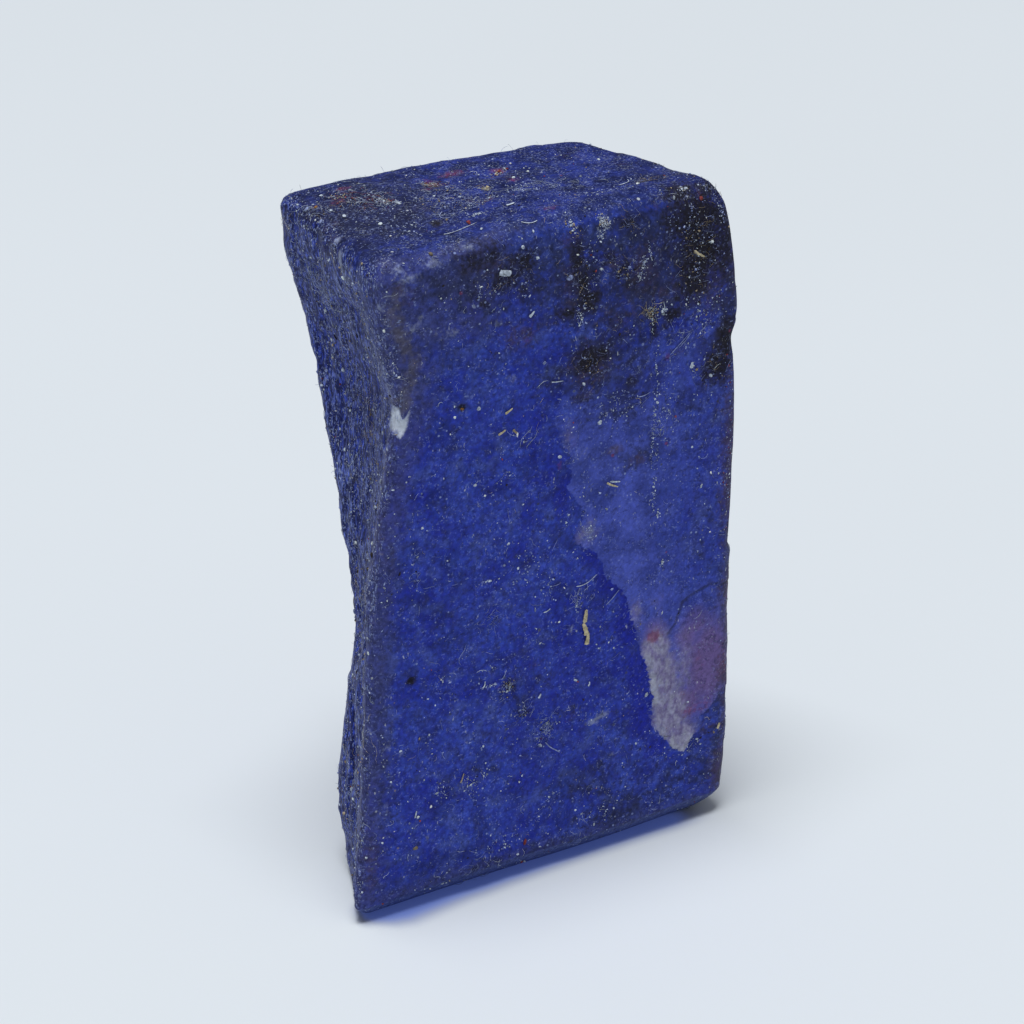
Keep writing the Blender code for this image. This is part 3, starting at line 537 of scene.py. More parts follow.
class Skin:
    """The stone's fine skin: places and normals on a grid, with the fields on it."""

    def __init__(self, heights):
        form = plain_form()
        normals = grid_normals(form)
        side = facing(normals)
        fade = ramp(0.0, FLAT_FOOT_BAND, form[..., 2])[..., None]
        broad = form + normals * fade * broad_relief(form, side)[..., None]
        self.fields = skin_fields(broad, side)
        extra = fine_relief(broad, side, self.fields, heights)
        smooth_normals = grid_normals(broad)
        finished = broad + smooth_normals * (fade * extra[..., None])
        finished[..., 2] = np.maximum(finished[..., 2], 0.0)
        self.fields["crest"] = np.clip(0.5 + extra / (0.35 * MM), 0.0, 1.0)
        # The underside field gives the foot a lighter blue: the stone's blue, lightened as
        # painted light.
        self.fields["underside"] = ramp(0.1, 0.9, -normals[..., 2])
        # The glow field places a painted glow: emission low on the front, for light through the
        # stone.
        self.fields["glow"] = self.fields["underside"] * ramp(2.0, -2.0, finished[..., 1] / MM)
        low, high = broad.min(axis=(0, 1)), broad.max(axis=(0, 1))
        middle = (SOLID_LOW + SOLID_HIGH) / 2 - (low + high) / 2
        self.shift = np.array([middle[0], middle[1], 0.0])
        self.broad_mm = broad / MM
        self.places = finished + self.shift
        self.normals = grid_normals(finished)
        self.side = side

    def near(self, wall, first_mm, second_mm):
        """Find the ring and station of the point nearest to a place on one wall.

        The place is X and height on the front, X and Y on top, Y and height on the left.
        """
        first, second = {"front": (0, 2), "top": (0, 1), "left": (1, 2)}[wall]
        gap = ((self.broad_mm[..., first] - first_mm) ** 2
               + (self.broad_mm[..., second] - second_mm) ** 2)
        gap = np.where(self.side[wall] > 0.3, gap, np.inf)
        ring, station = np.unravel_index(np.argmin(gap), gap.shape)
        return float(ring), float(station)

    def steps(self, ring, station):
        """Measure the grid's steps at a place, in millimetres: across and up."""
        here = self.read(self.places, ring, station)
        beside = np.linalg.norm(self.read(self.places, ring, station + 1.0) - here, axis=-1)
        above = np.linalg.norm(self.read(self.places, ring + 1.0, station) - here, axis=-1)
        return np.maximum(beside / MM, 0.03), np.maximum(above / MM, 0.03)

    def read(self, grid, ring, station):
        """Read a grid between its points: the four nearest, weighted by nearness."""
        rings, stations = grid.shape[:2]
        ring = np.clip(ring, 0.0, rings - 1.001)
        low, part_r = np.floor(ring).astype(int), (ring % 1.0)[..., None]
        left, part_s = np.floor(station).astype(int), (station % 1.0)[..., None]
        near, far = left % stations, (left + 1) % stations
        return ((1 - part_r) * ((1 - part_s) * grid[low, near] + part_s * grid[low, far])
                + part_r * ((1 - part_s) * grid[low + 1, near]
                            + part_s * grid[low + 1, far]))

    def at(self, ring, station):
        """Give the places on the skin there, and its outward directions."""
        return self.read(self.places, ring, station), self.read(self.normals, ring, station)

    def scatter(self, rng, count, density):
        """Draw places at random over the skin, evenly by area times the density."""
        across = np.roll(self.places, -1, axis=1) - self.places
        up = np.diff(self.places, axis=0)
        area = np.linalg.norm(np.cross(across[:-1], up), axis=-1) * density[:-1]
        chosen = rng.choice(area.size, size=count, p=(area / area.sum()).ravel())
        ring, station = np.divmod(chosen, area.shape[1])
        return ring + rng.uniform(0, 1, count), station + rng.uniform(0, 1, count)


@functools.lru_cache(maxsize=1)
def skin_with(heights):
    """Work the skin out once for these relief heights."""
    return Skin(heights)


def current_skin():
    """Give the skin for the relief heights set in the panel."""
    stone = bpy.context.scene.tanzanite_stone
    return skin_with(ReliefHeights(stone.peel, stone.streak, stone.stroke, stone.overlay))


# --- Meshes ---

def new_mesh(name, vertices, face_sets, smooth=True):
    """Put arrays into a new mesh: each set of faces is an array of one face size."""
    loops = np.concatenate([faces.ravel() for faces in face_sets])
    sizes = np.concatenate([np.full(len(faces), faces.shape[1]) for faces in face_sets])
    starts = np.concatenate([[0], np.cumsum(sizes)[:-1]])
    mesh = bpy.data.meshes.new(name)
    mesh.vertices.add(len(vertices))
    mesh.vertices.foreach_set("co", np.ascontiguousarray(vertices, np.float32).ravel())
    mesh.loops.add(len(loops))
    mesh.loops.foreach_set("vertex_index", loops.astype(np.int32))
    mesh.polygons.add(len(sizes))
    mesh.polygons.foreach_set("loop_start", starts.astype(np.int32))
    mesh.update(calc_edges=True)
    mesh.validate()
    if smooth:
        mesh.shade_smooth()
    return mesh


def new_piece(name, mesh, material):
    """Link a piece to the scene, give it its material, and let it ride on the stone."""
    piece = bpy.data.objects.new(name, mesh)
    bpy.context.scene.collection.objects.link(piece)
    mesh.materials.append(material)
    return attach(piece, "root")


def add_field(mesh, name, values, kind="FLOAT", key="value"):
    """Store one number, or one colour, for each point of a mesh."""
    layer = mesh.attributes.new(name, kind, "POINT")
    layer.data.foreach_set(key, np.ascontiguousarray(values, np.float32).ravel())


def closed_faces(items, rings, sides):
    """Number the faces of closed bodies: each is rings of points, then its two ends."""
    body = rings * sides
    grid = np.arange(body).reshape(rings, sides)
    beside = np.roll(grid, -1, axis=1)
    first_end = np.stack([grid[0], beside[0], np.full(sides, body)], axis=-1)
    last_end = np.stack([beside[-1], grid[-1], np.full(sides, body + 1)], axis=-1)
    quads = np.stack([grid[1:], beside[1:], beside[:-1], grid[:-1]], axis=-1).reshape(-1, 4)
    start = (np.arange(items) * (body + 2))[:, None, None]
    face_sets = [(start + np.concatenate([first_end, last_end])).reshape(-1, 3)]
    if rings > 1:
        face_sets.append((start + quads).reshape(-1, 4))
    return face_sets


def spindles(paths, ups, radii, flatness, sides):
    """Make closed spindles along paths: items x points x 3, with a radius at each point.

    A point of the surface is path(v) + radius(v) (cos(u) side + flatness sin(u) up). The
    first and last point of a path are its two ends.
    """
    items, points = paths.shape[:2]
    ahead = np.gradient(paths, axis=1)
    across = np.cross(ahead, ups)
    across /= np.maximum(np.linalg.norm(across, axis=-1, keepdims=True), 1e-12)
    lift = np.cross(across, ahead)
    lift /= np.maximum(np.linalg.norm(lift, axis=-1, keepdims=True), 1e-12)
    angle = 2.0 * np.pi * np.arange(sides) / sides
    radii = np.broadcast_to(radii, (items, points))[:, 1:-1, None, None]
    rings = (paths[:, 1:-1, None]
             + radii * (np.cos(angle)[:, None] * across[:, 1:-1, None]
                        + flatness * np.sin(angle)[:, None] * lift[:, 1:-1, None]))
    vertices = np.concatenate([rings.reshape(items, -1, 3), paths[:, :1], paths[:, -1:]],
                              axis=1)
    vertices[..., 2] = np.maximum(vertices[..., 2], 0.0)
    return vertices, closed_faces(items, points - 2, sides)


def paint(tints, vertices):
    """Repeat each bit's tint over its points."""
    return np.repeat(tints, vertices.shape[1], axis=0)


def draw_sizes(rng, count, *ranges):
    """Draw a few numbers for each of many bits, one number from each range."""
    return np.stack([rng.uniform(low, high, count) for low, high in ranges], axis=-1)


def new_bits(name, vertices, face_sets, colours, material, smooth=True):
    """Make many small bits one piece, with a colour for each point."""
    mesh = new_mesh(name, vertices.reshape(-1, 3), face_sets, smooth)
    opacity = np.ones((len(colours), 1))
    add_field(mesh, "tint", np.hstack([colours, opacity]), "FLOAT_COLOR", "color")
    new_piece(name, mesh, material)


def lumps(centres, outward, radii, turn, uneven, rings, sides):
    """Make closed lumps: centre + r(u, v) (sin v (cos u a + sin u b) + cos v n).

    n is the outward direction, a and b are two directions across it turned by an angle,
    and r(u, v) holds the three radii times an uneven factor for each point.
    """
    helper = np.where(np.abs(outward[:, 2:]) < 0.8, [[0.0, 0.0, 1.0]], [[1.0, 0.0, 0.0]])
    across = np.cross(helper, outward)
    across /= np.linalg.norm(across, axis=-1, keepdims=True)
    along = np.cross(outward, across)
    first = np.cos(turn)[:, None] * across + np.sin(turn)[:, None] * along
    second = np.cos(turn)[:, None] * along - np.sin(turn)[:, None] * across
    fall = np.pi * np.arange(1, rings + 1) / (rings + 1)
    spin = 2.0 * np.pi * np.arange(sides) / sides
    body = rings * sides
    unit = np.empty((body + 2, 3))
    unit[:body, 0] = (np.sin(fall)[:, None] * np.cos(spin)).ravel()
    unit[:body, 1] = (np.sin(fall)[:, None] * np.sin(spin)).ravel()
    unit[:body, 2] = np.repeat(np.cos(fall), sides)
    unit[body:] = [[0.0, 0.0, 1.0], [0.0, 0.0, -1.0]]
    frames = np.stack([first, second, outward], axis=1) * radii[:, :, None]
    vertices = centres[:, None] + np.einsum("pk,ikx->ipx", unit, frames) * uneven[..., None]
    vertices[..., 2] = np.maximum(vertices[..., 2], 0.0)
    return vertices, closed_faces(len(centres), rings, sides)


def surface_paths(skin, ring, station, heading, length_mm, bend, wiggle, points):
    """Lay curved paths on the skin, each through its own place on the grid.

    A path's direction turns by its bend from end to end and swings by its wiggle, and its
    steps across and up are counted in grid steps of the local size.
    """
    beside, above = skin.steps(ring, station)
    along = np.linspace(-0.5, 0.5, points)
    angle = (heading[:, None] + bend[:, None] * along
             + wiggle[:, None] * np.sin(2.0 * np.pi * (along + wiggle[:, None])))
    step = length_mm[:, None] / (points - 1)
    right = np.cumsum(np.cos(angle) * step, axis=1)
    rise = np.cumsum(np.sin(angle) * step, axis=1)
    right -= right.mean(axis=1, keepdims=True)
    rise -= rise.mean(axis=1, keepdims=True)
    stations = station[:, None] + right / beside[:, None]
    rings = ring[:, None] + rise / above[:, None]
    return skin.at(rings, stations)


# --- Materials ---

def opaque(colour):
    """Give a colour as the four numbers that a colour socket takes."""
    return (*colour, 1.0)


class Nodes:
    """Adds nodes to a tree, each with its inputs set or linked."""

    def __init__(self, tree):
        self.tree = tree

    def add(self, kind, inputs=None, **settings):
        """Add a node: plain values are set on its sockets and sockets are linked."""
        node = self.tree.nodes.new(kind)
        for name, value in settings.items():
            setattr(node, name, value)
        for key, value in (inputs or {}).items():
            if isinstance(value, bpy.types.NodeSocket):
                self.link(value, node.inputs[key])
            else:
                node.inputs[key].default_value = value
        return node

    def math(self, operation, *values, clamp=False):
        """Work out one number from others."""
        inputs = dict(enumerate(values))
        return self.add("ShaderNodeMath", inputs, operation=operation,
                        use_clamp=clamp).outputs[0]

    def plus(self, first, second, clamp=False):
        """Add two numbers."""
        return self.math("ADD", first, second, clamp=clamp)

    def minus(self, first, second):
        """Take one number from another."""
        return self.math("SUBTRACT", first, second)

    def times(self, first, second):
        """Multiply two numbers."""
        return self.math("MULTIPLY", first, second)

    def mix(self, share, first, second):
        """Mix two colours by a share from 0 to 1. A fixed colour is three numbers."""
        first, second = (colour if isinstance(colour, bpy.types.NodeSocket)
                         else opaque(colour) for colour in (first, second))
        return self.add("ShaderNodeMix", {0: share, 6: first, 7: second},
                        data_type="RGBA").outputs[2]

    def noise(self, place, size, **inputs):
        """Give noise whose spots are about one size, in the units of the place."""
        inputs = {"Vector": place, "Scale": self.math("DIVIDE", 1.0, size), **inputs}
        return self.add("ShaderNodeTexNoise", inputs).outputs[0]

    def scale(self, colour, factor):
        """Make a colour lighter or darker by a factor."""
        return self.add("ShaderNodeVectorMath", {0: colour, "Scale": factor},
                        operation="SCALE").outputs[0]

    def rise(self, value, low, high):
        """Rise smoothly from 0 at low to 1 at high, for low below high."""
        return self.add("ShaderNodeMapRange", {"Value": value, "From Min": low,
                                               "From Max": high},
                        interpolation_type="SMOOTHSTEP").outputs[0]

    def field(self, name):
        """Read a number stored on the skin."""
        return self.add("ShaderNodeAttribute", attribute_name=name).outputs["Fac"]

    def place_mm(self):
        """Give the place in the object, in millimetres."""
        place = self.add("ShaderNodeTexCoord").outputs["Object"]
        return self.add("ShaderNodeMapping", {"Vector": place,
                                              "Scale": (1.0 / MM,) * 3}).outputs[0]

    def link(self, value, socket):
        """Link a value to a socket."""
        self.tree.links.new(value, socket)

    def use(self, tree, **inputs):
        """Place a group, with its inputs given by name, and give its result."""
        inputs = {name.replace("_", " ").capitalize(): value
                  for name, value in inputs.items()}
        return self.add("ShaderNodeGroup", inputs, node_tree=tree).outputs[0]


def start_group(name, numbers, output="Mask"):
    """Start a group that takes a place in millimetres and numbers, and has one result."""
    tree = bpy.data.node_groups.new(name, "ShaderNodeTree")
    tree.interface.new_socket("Place", in_out="INPUT", socket_type="NodeSocketVector")
    for label, default in numbers.items():
        socket = tree.interface.new_socket(label, in_out="INPUT",
                                           socket_type="NodeSocketFloat")
        socket.default_value = default
    tree.interface.new_socket(output, in_out="OUTPUT", socket_type="NodeSocketFloat")
    nodes = Nodes(tree)
    return nodes, nodes.add("NodeGroupInput").outputs


def end_group(nodes, value):
    """Give a value out of a group as its result."""
    nodes.link(value, nodes.add("NodeGroupOutput").inputs[0])
    return nodes.tree


@functools.cache
def blotches_group():
    """Soft blotches of one size: noise that rises smoothly between two levels."""
    nodes, given = start_group(
        "Soft blotches", {"Size": 1.0, "Detail": 2.0, "Low": 0.4, "High": 0.6})
    noise = nodes.noise(given["Place"], given["Size"], Detail=given["Detail"])
    return end_group(nodes, nodes.rise(noise, given["Low"], given["High"]))


@functools.cache
def streaks_group():
    """Streaks along one direction: noise on a place squeezed along it."""
    nodes, given = start_group(
        "Long streaks", {"Width": 0.3, "Along x": 1.0, "Along y": 1.0, "Along z": 6.0,
                         "Low": 0.4, "High": 0.6})
    squeeze = nodes.add("ShaderNodeCombineXYZ", {
        axis: nodes.times(given["Width"], given["Along " + axis.lower()])
        for axis in "XYZ"}).outputs[0]
    place = nodes.add("ShaderNodeVectorMath", {0: given["Place"], 1: squeeze},
                      operation="DIVIDE").outputs[0]
    noise = nodes.add("ShaderNodeTexNoise", {"Vector": place, "Scale": 1.0,
                                             "Detail": 2.5, "Distortion": 0.4}).outputs[0]
    return end_group(nodes, nodes.rise(noise, given["Low"], given["High"]))


@functools.cache
def specks_group():
    """Scattered round specks: near the middle of a few random cells of a Voronoi net."""
    nodes, given = start_group(
        "Scattered specks", {"Spacing": 0.5, "Radius": 0.08, "Share": 0.3})
    cells = nodes.add("ShaderNodeTexVoronoi", {
        "Vector": given["Place"], "Scale": nodes.math("DIVIDE", 1.0, given["Spacing"])})
    picks = nodes.add("ShaderNodeSeparateColor", {0: cells.outputs["Color"]}).outputs
    away = nodes.times(cells.outputs["Distance"], given["Spacing"])
    reach = nodes.times(given["Radius"], nodes.plus(0.4, picks["Green"]))
    near = nodes.minus(1.0, nodes.rise(away, nodes.times(reach, 0.6), reach))
    chosen = nodes.math("LESS_THAN", picks["Red"], given["Share"])
    return end_group(nodes, nodes.times(near, chosen))


@functools.cache
def ragged_group():
    """Give a soft field a ragged edge: noise is added before it rises to its mask."""
    nodes, given = start_group(
        "Ragged patch", {"Field": 0.0, "Size": 0.4, "Reach": 0.3, "Low": 0.4, "High": 0.6})
    noise = nodes.noise(given["Place"], given["Size"], Detail=4.0, Roughness=0.62)
    swing = nodes.times(nodes.minus(noise, 0.5), given["Reach"])
    broken = nodes.plus(given["Field"], swing)
    return end_group(nodes, nodes.rise(broken, given["Low"], given["High"]))


@functools.cache
def variation_group():
    """Uneven tone: noise of many sizes, as a factor round 1 that a colour is scaled by."""
    nodes, given = start_group("Uneven tone", {"Size": 1.0, "Amount": 0.5}, "Factor")
    noise = nodes.noise(given["Place"], given["Size"], Detail=6.0, Roughness=0.68)
    swing = nodes.times(nodes.minus(noise, 0.5), nodes.times(given["Amount"], 4.0))
    return end_group(nodes, nodes.math("MAXIMUM", nodes.plus(1.0, swing), 0.05))


@functools.cache
def flecks_group():
    """Fine irregular flecks: the tops of fine noise, where a wider noise is high too."""
    nodes, given = start_group(
        "Fine flecks", {"Size": 0.1, "Along x": 1.0, "Along z": 1.0, "Level": 0.62,
                        "Patch": 1.4, "Patch level": 0.5})
    squeeze = nodes.add("ShaderNodeCombineXYZ", {
        "X": nodes.times(given["Size"], given["Along x"]), "Y": given["Size"],
        "Z": nodes.times(given["Size"], given["Along z"])}).outputs[0]
    place = nodes.add("ShaderNodeVectorMath", {0: given["Place"], 1: squeeze},
                      operation="DIVIDE").outputs[0]
    noise = nodes.add("ShaderNodeTexNoise", {"Vector": place, "Scale": 1.0, "Detail": 1.5,
                                             "Distortion": 0.5}).outputs[0]
    wide = nodes.noise(given["Place"], given["Patch"], Detail=2.0)
    edge = 0.09
    fine_mask = nodes.rise(noise, given["Level"], nodes.plus(given["Level"], edge))
    wide_mask = nodes.rise(wide, nodes.minus(given["Patch level"], edge),
                           nodes.plus(given["Patch level"], edge))
    return end_group(nodes, nodes.times(fine_mask, wide_mask))


@functools.cache
def grain_group():
    """Fine grain for a bump: noise of many sizes, as a height in millimetres."""
    nodes, given = start_group("Fine grain", {"Size": 0.2, "Height": 0.01}, "Height")
    noise = nodes.noise(given["Place"], given["Size"], Detail=3.0, Roughness=0.6)
    return end_group(nodes, nodes.times(noise, given["Height"]))


def start_material(name, roughness, specular):
    """Start a material: its nodes and its shader, with the plain values set."""
    material = bpy.data.materials.new(name)
    material.use_nodes = True
    shader = material.node_tree.nodes["Principled BSDF"]
    shader.inputs["Roughness"].default_value = roughness
    shader.inputs["Specular IOR Level"].default_value = specular
    return material, Nodes(material.node_tree), shader.inputs


def body_colour(nodes, place, stone):
    """Mix the colour of the bare stone: front, upright walls and top."""
    blotches, streaks = blotches_group(), streaks_group()
    body = nodes.use(blotches, place=place, size=0.9, detail=5.0, low=0.36, high=0.66)
    wide = nodes.use(blotches, place=place, size=3.4, detail=3.0, low=0.38, high=0.62)
    share = nodes.plus(nodes.times(body, 0.45), nodes.times(wide, 0.4))
    front = nodes.mix(nodes.plus(share, 0.06), stone.deep, stone.slate)
    for size, detail, low, high, tone, strength in (
            (0.3, 3.0, 0.38, 0.62, stone.violet, 0.35),
            (2.0, 5.0, 0.5, 0.66, stone.trough, 0.45),
            (0.7, 5.0, 0.52, 0.7, stone.dull, 0.6),
            (1.5, 5.0, 0.52, 0.68, stone.cloud, 0.6)):
        patch = nodes.use(blotches, place=place, size=size, detail=detail, low=low, high=high)
        front = nodes.mix(nodes.times(patch, strength), front, tone)

    ribs = nodes.use(streaks, place=place, width=0.15, along_z=4.0, low=0.44, high=0.74)
    crest = nodes.rise(nodes.field("crest"), 0.4, 1.0)
    wall = nodes.mix(ribs, stone.trough, stone.wall)
    light = nodes.times(nodes.times(crest, ribs), 0.8)
    wall = nodes.mix(light, wall, stone.ridge)
    colour = nodes.mix(nodes.field("upright"), front, wall)

    stroke = nodes.use(streaks, place=place, width=0.13, along_x=4.0, along_z=4.0,
                       low=0.54, high=0.88)
    # The top's colours are set darker than the front's, partly as painted shade that offsets the
    # stronger light on top.
    cloud = nodes.use(blotches, place=place, size=1.6, detail=4.0, low=0.33, high=0.68)
    top_face = nodes.mix(cloud, stone.top_dark, stone.top_blue)
    top_face = nodes.mix(stroke, top_face, stone.top_light)
    return nodes.mix(nodes.field("top"), colour, top_face)


def add_patches(nodes, place, stone, colour):
    """Lay haze, the pale skin with its tints, grime, brown, wear and stains over a colour."""
    def lay(colour, *layers):
        """Lay one tint after another, each over a ragged patch.

        A layer is its field, tint and strength, the size and reach of its ragged edge, the
        levels between which it rises, and a mask where it has one.
        """
        for name, tint, strength, size, reach, low, high, *mask in layers:
            patch = nodes.use(ragged_group(), place=place, field=nodes.field(name),
                              size=size, reach=reach, low=low, high=high)
            if mask:
                patch = nodes.times(patch, *mask)
            colour = nodes.mix(nodes.times(patch, strength), colour, tint)
        return colour, patch

    thick = nodes.minus(1.0, nodes.field("thin_skin"))
    colour, skin = lay(
        colour, ("clear", stone.clear, 0.8, 1.2, 0.8, 0.2, 0.9),
        ("haze", stone.haze, 0.75, 0.6, 1.4, 0.15, 1.1),
        ("band", stone.band, 0.65, 0.5, 1.4, 0.1, 1.2),
        ("pale_skin", stone.overlay_dark, 0.85, 0.4, 0.9, -0.03, 0.09, thick))
    mottle = nodes.use(blotches_group(), place=place, size=1.9, detail=5.0, low=0.34,
                       high=0.64)
    colour = nodes.mix(nodes.times(mottle, skin), colour, stone.overlay_light)
    crust = nodes.use(streaks_group(), place=place, width=0.36, along_z=1.8, low=0.3,
                      high=0.68)
    rim = nodes.minus(1.0, nodes.rise(nodes.field("pale_skin"), 0.15, 0.65))
    colour, stain = lay(
        colour, ("mauve", stone.mauve, 0.9, 0.9, 0.8, 0.1, 1.0, skin),
        ("pale", stone.palest_low, 0.95, 0.6, 0.9, 0.2, 0.9, skin),
        ("pale", stone.palest, 0.9, 0.5, 0.9, 0.35, 1.0, nodes.times(skin, crust)),
        ("pale", stone.chalk, 0.5, 0.25, 0.9, 0.45, 1.0, nodes.times(skin, rim)),
        ("grime", stone.grime, 0.85, 0.6, 2.0, 0.2, 1.1),
        ("brown", stone.brown, 0.75, 0.35, 2.0, 0.3, 1.2),
        ("blush", stone.blush, 0.6, 0.25, 1.8, 0.35, 1.3),
        ("arris", stone.worn, 0.3, 0.3, 1.3, 0.5, 1.0),
        ("groove", stone.earth, 0.65, 0.45, 2.4, 0.2, 1.2),
        ("worn", stone.worn, 0.7, 0.25, 1.8, 0.3, 1.3),
        ("crack", stone.stain, 0.58, 0.1, 1.0, 0.15, 0.9),
        ("stain", stone.soot, 0.75, 0.5, 2.2, 0.1, 1.0),
        ("stain", stone.stain, 0.85, 0.22, 2.4, 0.35, 1.1))
    colour, _ = lay(colour, ("chip", stone.chip, 0.95, 0.35, 1.2, 0.15, 0.95))
    # Partly painted light: faces that point down take a lighter blue, for light through the
    # stone.
    beneath = nodes.rise(nodes.field("underside"), 0.0, 0.55)
    return nodes.mix(beneath, colour, stone.foot), skin, stain


def add_specks(nodes, place, stone, colour):
    """Strew fine flecks and round specks over a colour: pale, tan, dark and reddish."""
    covered = nodes.plus(nodes.rise(nodes.field("pale"), 0.2, 0.8), nodes.field("chip"),
                         clamp=True)
    bare = nodes.minus(1.0, covered)
    worked = nodes.plus(nodes.field("upright"), nodes.times(nodes.field("top"), 0.5),
                        clamp=True)
    for size, along_x, along_z, level, patch, patch_level, tone, strength in (
            (0.3, 1.0, 1.0, 0.58, 0.9, 0.46, stone.trough, nodes.times(bare, 0.4)),
            (0.2, 1.0, 1.0, 0.58, 0.7, 0.5, stone.grime, nodes.times(bare, 0.35)),
            (0.16, 1.0, 1.0, 0.6, 1.1, 0.52, stone.film, 0.3),
            (0.11, 2.4, 1.0, 0.64, 0.8, 0.56, stone.film, 0.7),
            (0.11, 1.0, 2.4, 0.65, 0.9, 0.57, stone.chalk, 0.65),
            (0.12, 1.0, 2.4, 0.58, 1.3, 0.44, stone.film, nodes.times(worked, 0.75)),
            (0.1, 1.8, 1.0, 0.62, 1.3, 0.5, stone.chalk, nodes.times(worked, 0.7))):
        dots = nodes.use(flecks_group(), place=place, size=size, along_x=along_x,
                         along_z=along_z, level=level, patch=patch, patch_level=patch_level)
        colour = nodes.mix(nodes.times(dots, strength), colour, tone)
    dusty = nodes.use(blotches_group(), place=place, size=2.0, detail=3.0, low=0.44,
                      high=0.62)
    thick = nodes.plus(nodes.times(dusty, 0.7), 0.15)
    for spacing, radius, share, tone, strength in (
            (0.45, 0.07, 0.34, stone.film, thick), (0.8, 0.095, 0.24, stone.film, thick),
            (1.1, 0.1, 0.22, stone.chalk, 0.85), (1.6, 0.08, 0.25, stone.sand, 0.6),
            (0.8, 0.095, 0.22, stone.stain, nodes.times(bare, 0.65)),
            (2.1, 0.11, 0.25, stone.blush, 0.6)):
        dots = nodes.use(specks_group(), place=place, spacing=spacing, radius=radius,
                         share=share)
        colour = nodes.mix(nodes.times(dots, strength), colour, tone)
    return colour


def link_bump(nodes, shader, height_mm):
    """Turn a height in millimetres into the shader's normal."""
    bump = nodes.add("ShaderNodeBump", {"Strength": 1.0, "Distance": 1.0,
                                        "Height": nodes.times(height_mm, MM)})
    nodes.link(bump.outputs[0], shader["Normal"])


def link_glow(material, nodes, shader, field, levels, tone):
    """Let a surface give out one tone, as far as a field rises between two levels."""
    glow = nodes.mix(nodes.rise(nodes.field(field), *levels), BLACK, tone)
    nodes.link(glow, shader["Emission Color"])
    shader["Emission Strength"].default_value = 1.0
    material.cycles.emission_sampling = "NONE"


def stone_material(stone):
    """Make the stone's material: dull worn blue, waxier on the pale skin."""
    material, nodes, shader = start_material("worn_tanzanite", 0.55, 0.16)
    place = nodes.place_mm()
    colour = body_colour(nodes, place, stone)
    colour, skin, stain = add_patches(nodes, place, stone, colour)
    worked = nodes.plus(nodes.field("upright"), nodes.field("top"), clamp=True)
    rough_part = nodes.plus(nodes.times(worked, 0.16), 0.62)
    calm = nodes.minus(1.0, nodes.times(skin, 0.35))
    calm = nodes.minus(calm, nodes.times(nodes.field("chip"), 0.6))
    uneven = nodes.use(variation_group(), place=place, size=0.32,
                       amount=nodes.times(calm, rough_part))
    colour = nodes.scale(colour, uneven)
    colour = add_specks(nodes, place, stone, colour)
    nodes.link(colour, shader["Base Color"])
    # Painted glow: the underside near the front gives out blue light.
    link_glow(material, nodes, shader, "glow", (0.2, 0.9), stone.shine)
    patchy = nodes.use(blotches_group(), place=place, size=0.35, detail=2.0, low=0.3,
                       high=0.7)
    rough = nodes.plus(0.42, nodes.times(patchy, 0.2))
    rough = nodes.minus(rough, nodes.times(skin, 0.08))
    rough = nodes.plus(rough, nodes.times(stain, 0.25), clamp=True)
    nodes.link(rough, shader["Roughness"])
    fine = nodes.use(grain_group(), place=place, size=0.16, height=0.028)
    coarse = nodes.use(grain_group(), place=place, size=0.8, height=0.04)
    link_bump(nodes, shader, nodes.times(nodes.plus(fine, coarse), calm))
    return material


def debris_material(name, roughness, grain_mm):
    """Make the material of dust, lint and debris: each one's own tint, a little uneven."""
    material, nodes, shader = start_material(name, roughness, 0.3)
    place = nodes.place_mm()
    tint = nodes.add("ShaderNodeAttribute", attribute_name="tint").outputs["Color"]
    uneven = nodes.use(blotches_group(), place=place, size=grain_mm, detail=2.0, low=0.35,
                       high=0.65)
    darker = nodes.add("ShaderNodeHueSaturation", {"Color": tint, "Value": 0.62,
                                                   "Saturation": 1.1}).outputs[0]
    nodes.link(nodes.mix(uneven, darker, tint), shader["Base Color"])
    grain = nodes.use(grain_group(), place=place, size=grain_mm * 0.4, height=grain_mm * 0.12)
    link_bump(nodes, shader, grain)
    return material


def floor_material(stage):
    """Make the floor: even pale paper, with a painted blue shadow and a painted blue glow under
    and ahead of the stone's front lip.
    """
    material, nodes, shader = start_material("pale_floor", 0.85, 0.2)
    place = nodes.place_mm()
    tone = nodes.use(blotches_group(), place=place, size=60.0, detail=1.0, low=0.2, high=0.8)
    darker = [0.985 * part for part in stage.floor_colour]
    paper = nodes.mix(tone, darker, stage.floor_colour)
    # Painted shadow: the paper turns dark blue under and just ahead of the front lip.
    paper = nodes.mix(nodes.field("lip_shadow_and_glow"), paper, stage.painted_lip_shadow)
    nodes.link(paper, shader["Base Color"])
    # Painted glow: the floor gives out blue light under and ahead of the front lip.
    link_glow(material, nodes, shader, "lip_shadow_and_glow", (0.4, 1.0), stage.painted_floor_glow)
    return material


# --- Settings ---

def swatch(name, description, default):
    """Make a colour setting."""
    return bpy.props.FloatVectorProperty(name=name, description=description, size=3,
                                         subtype="COLOR", min=0.0, max=1.0,
                                         default=default)


def height_property(name, description, default):
    """Make a setting for a height of relief."""
    return bpy.props.FloatProperty(name=name, description=description, default=default,
                                   min=0.0, soft_max=0.001, precision=6, subtype="DISTANCE",
                                   unit="LENGTH")


def count_property(name, description, default):
    """Make a setting for a number of like pieces."""
    return bpy.props.IntProperty(name=name, description=description, default=default,
                                 min=1, soft_max=20000)


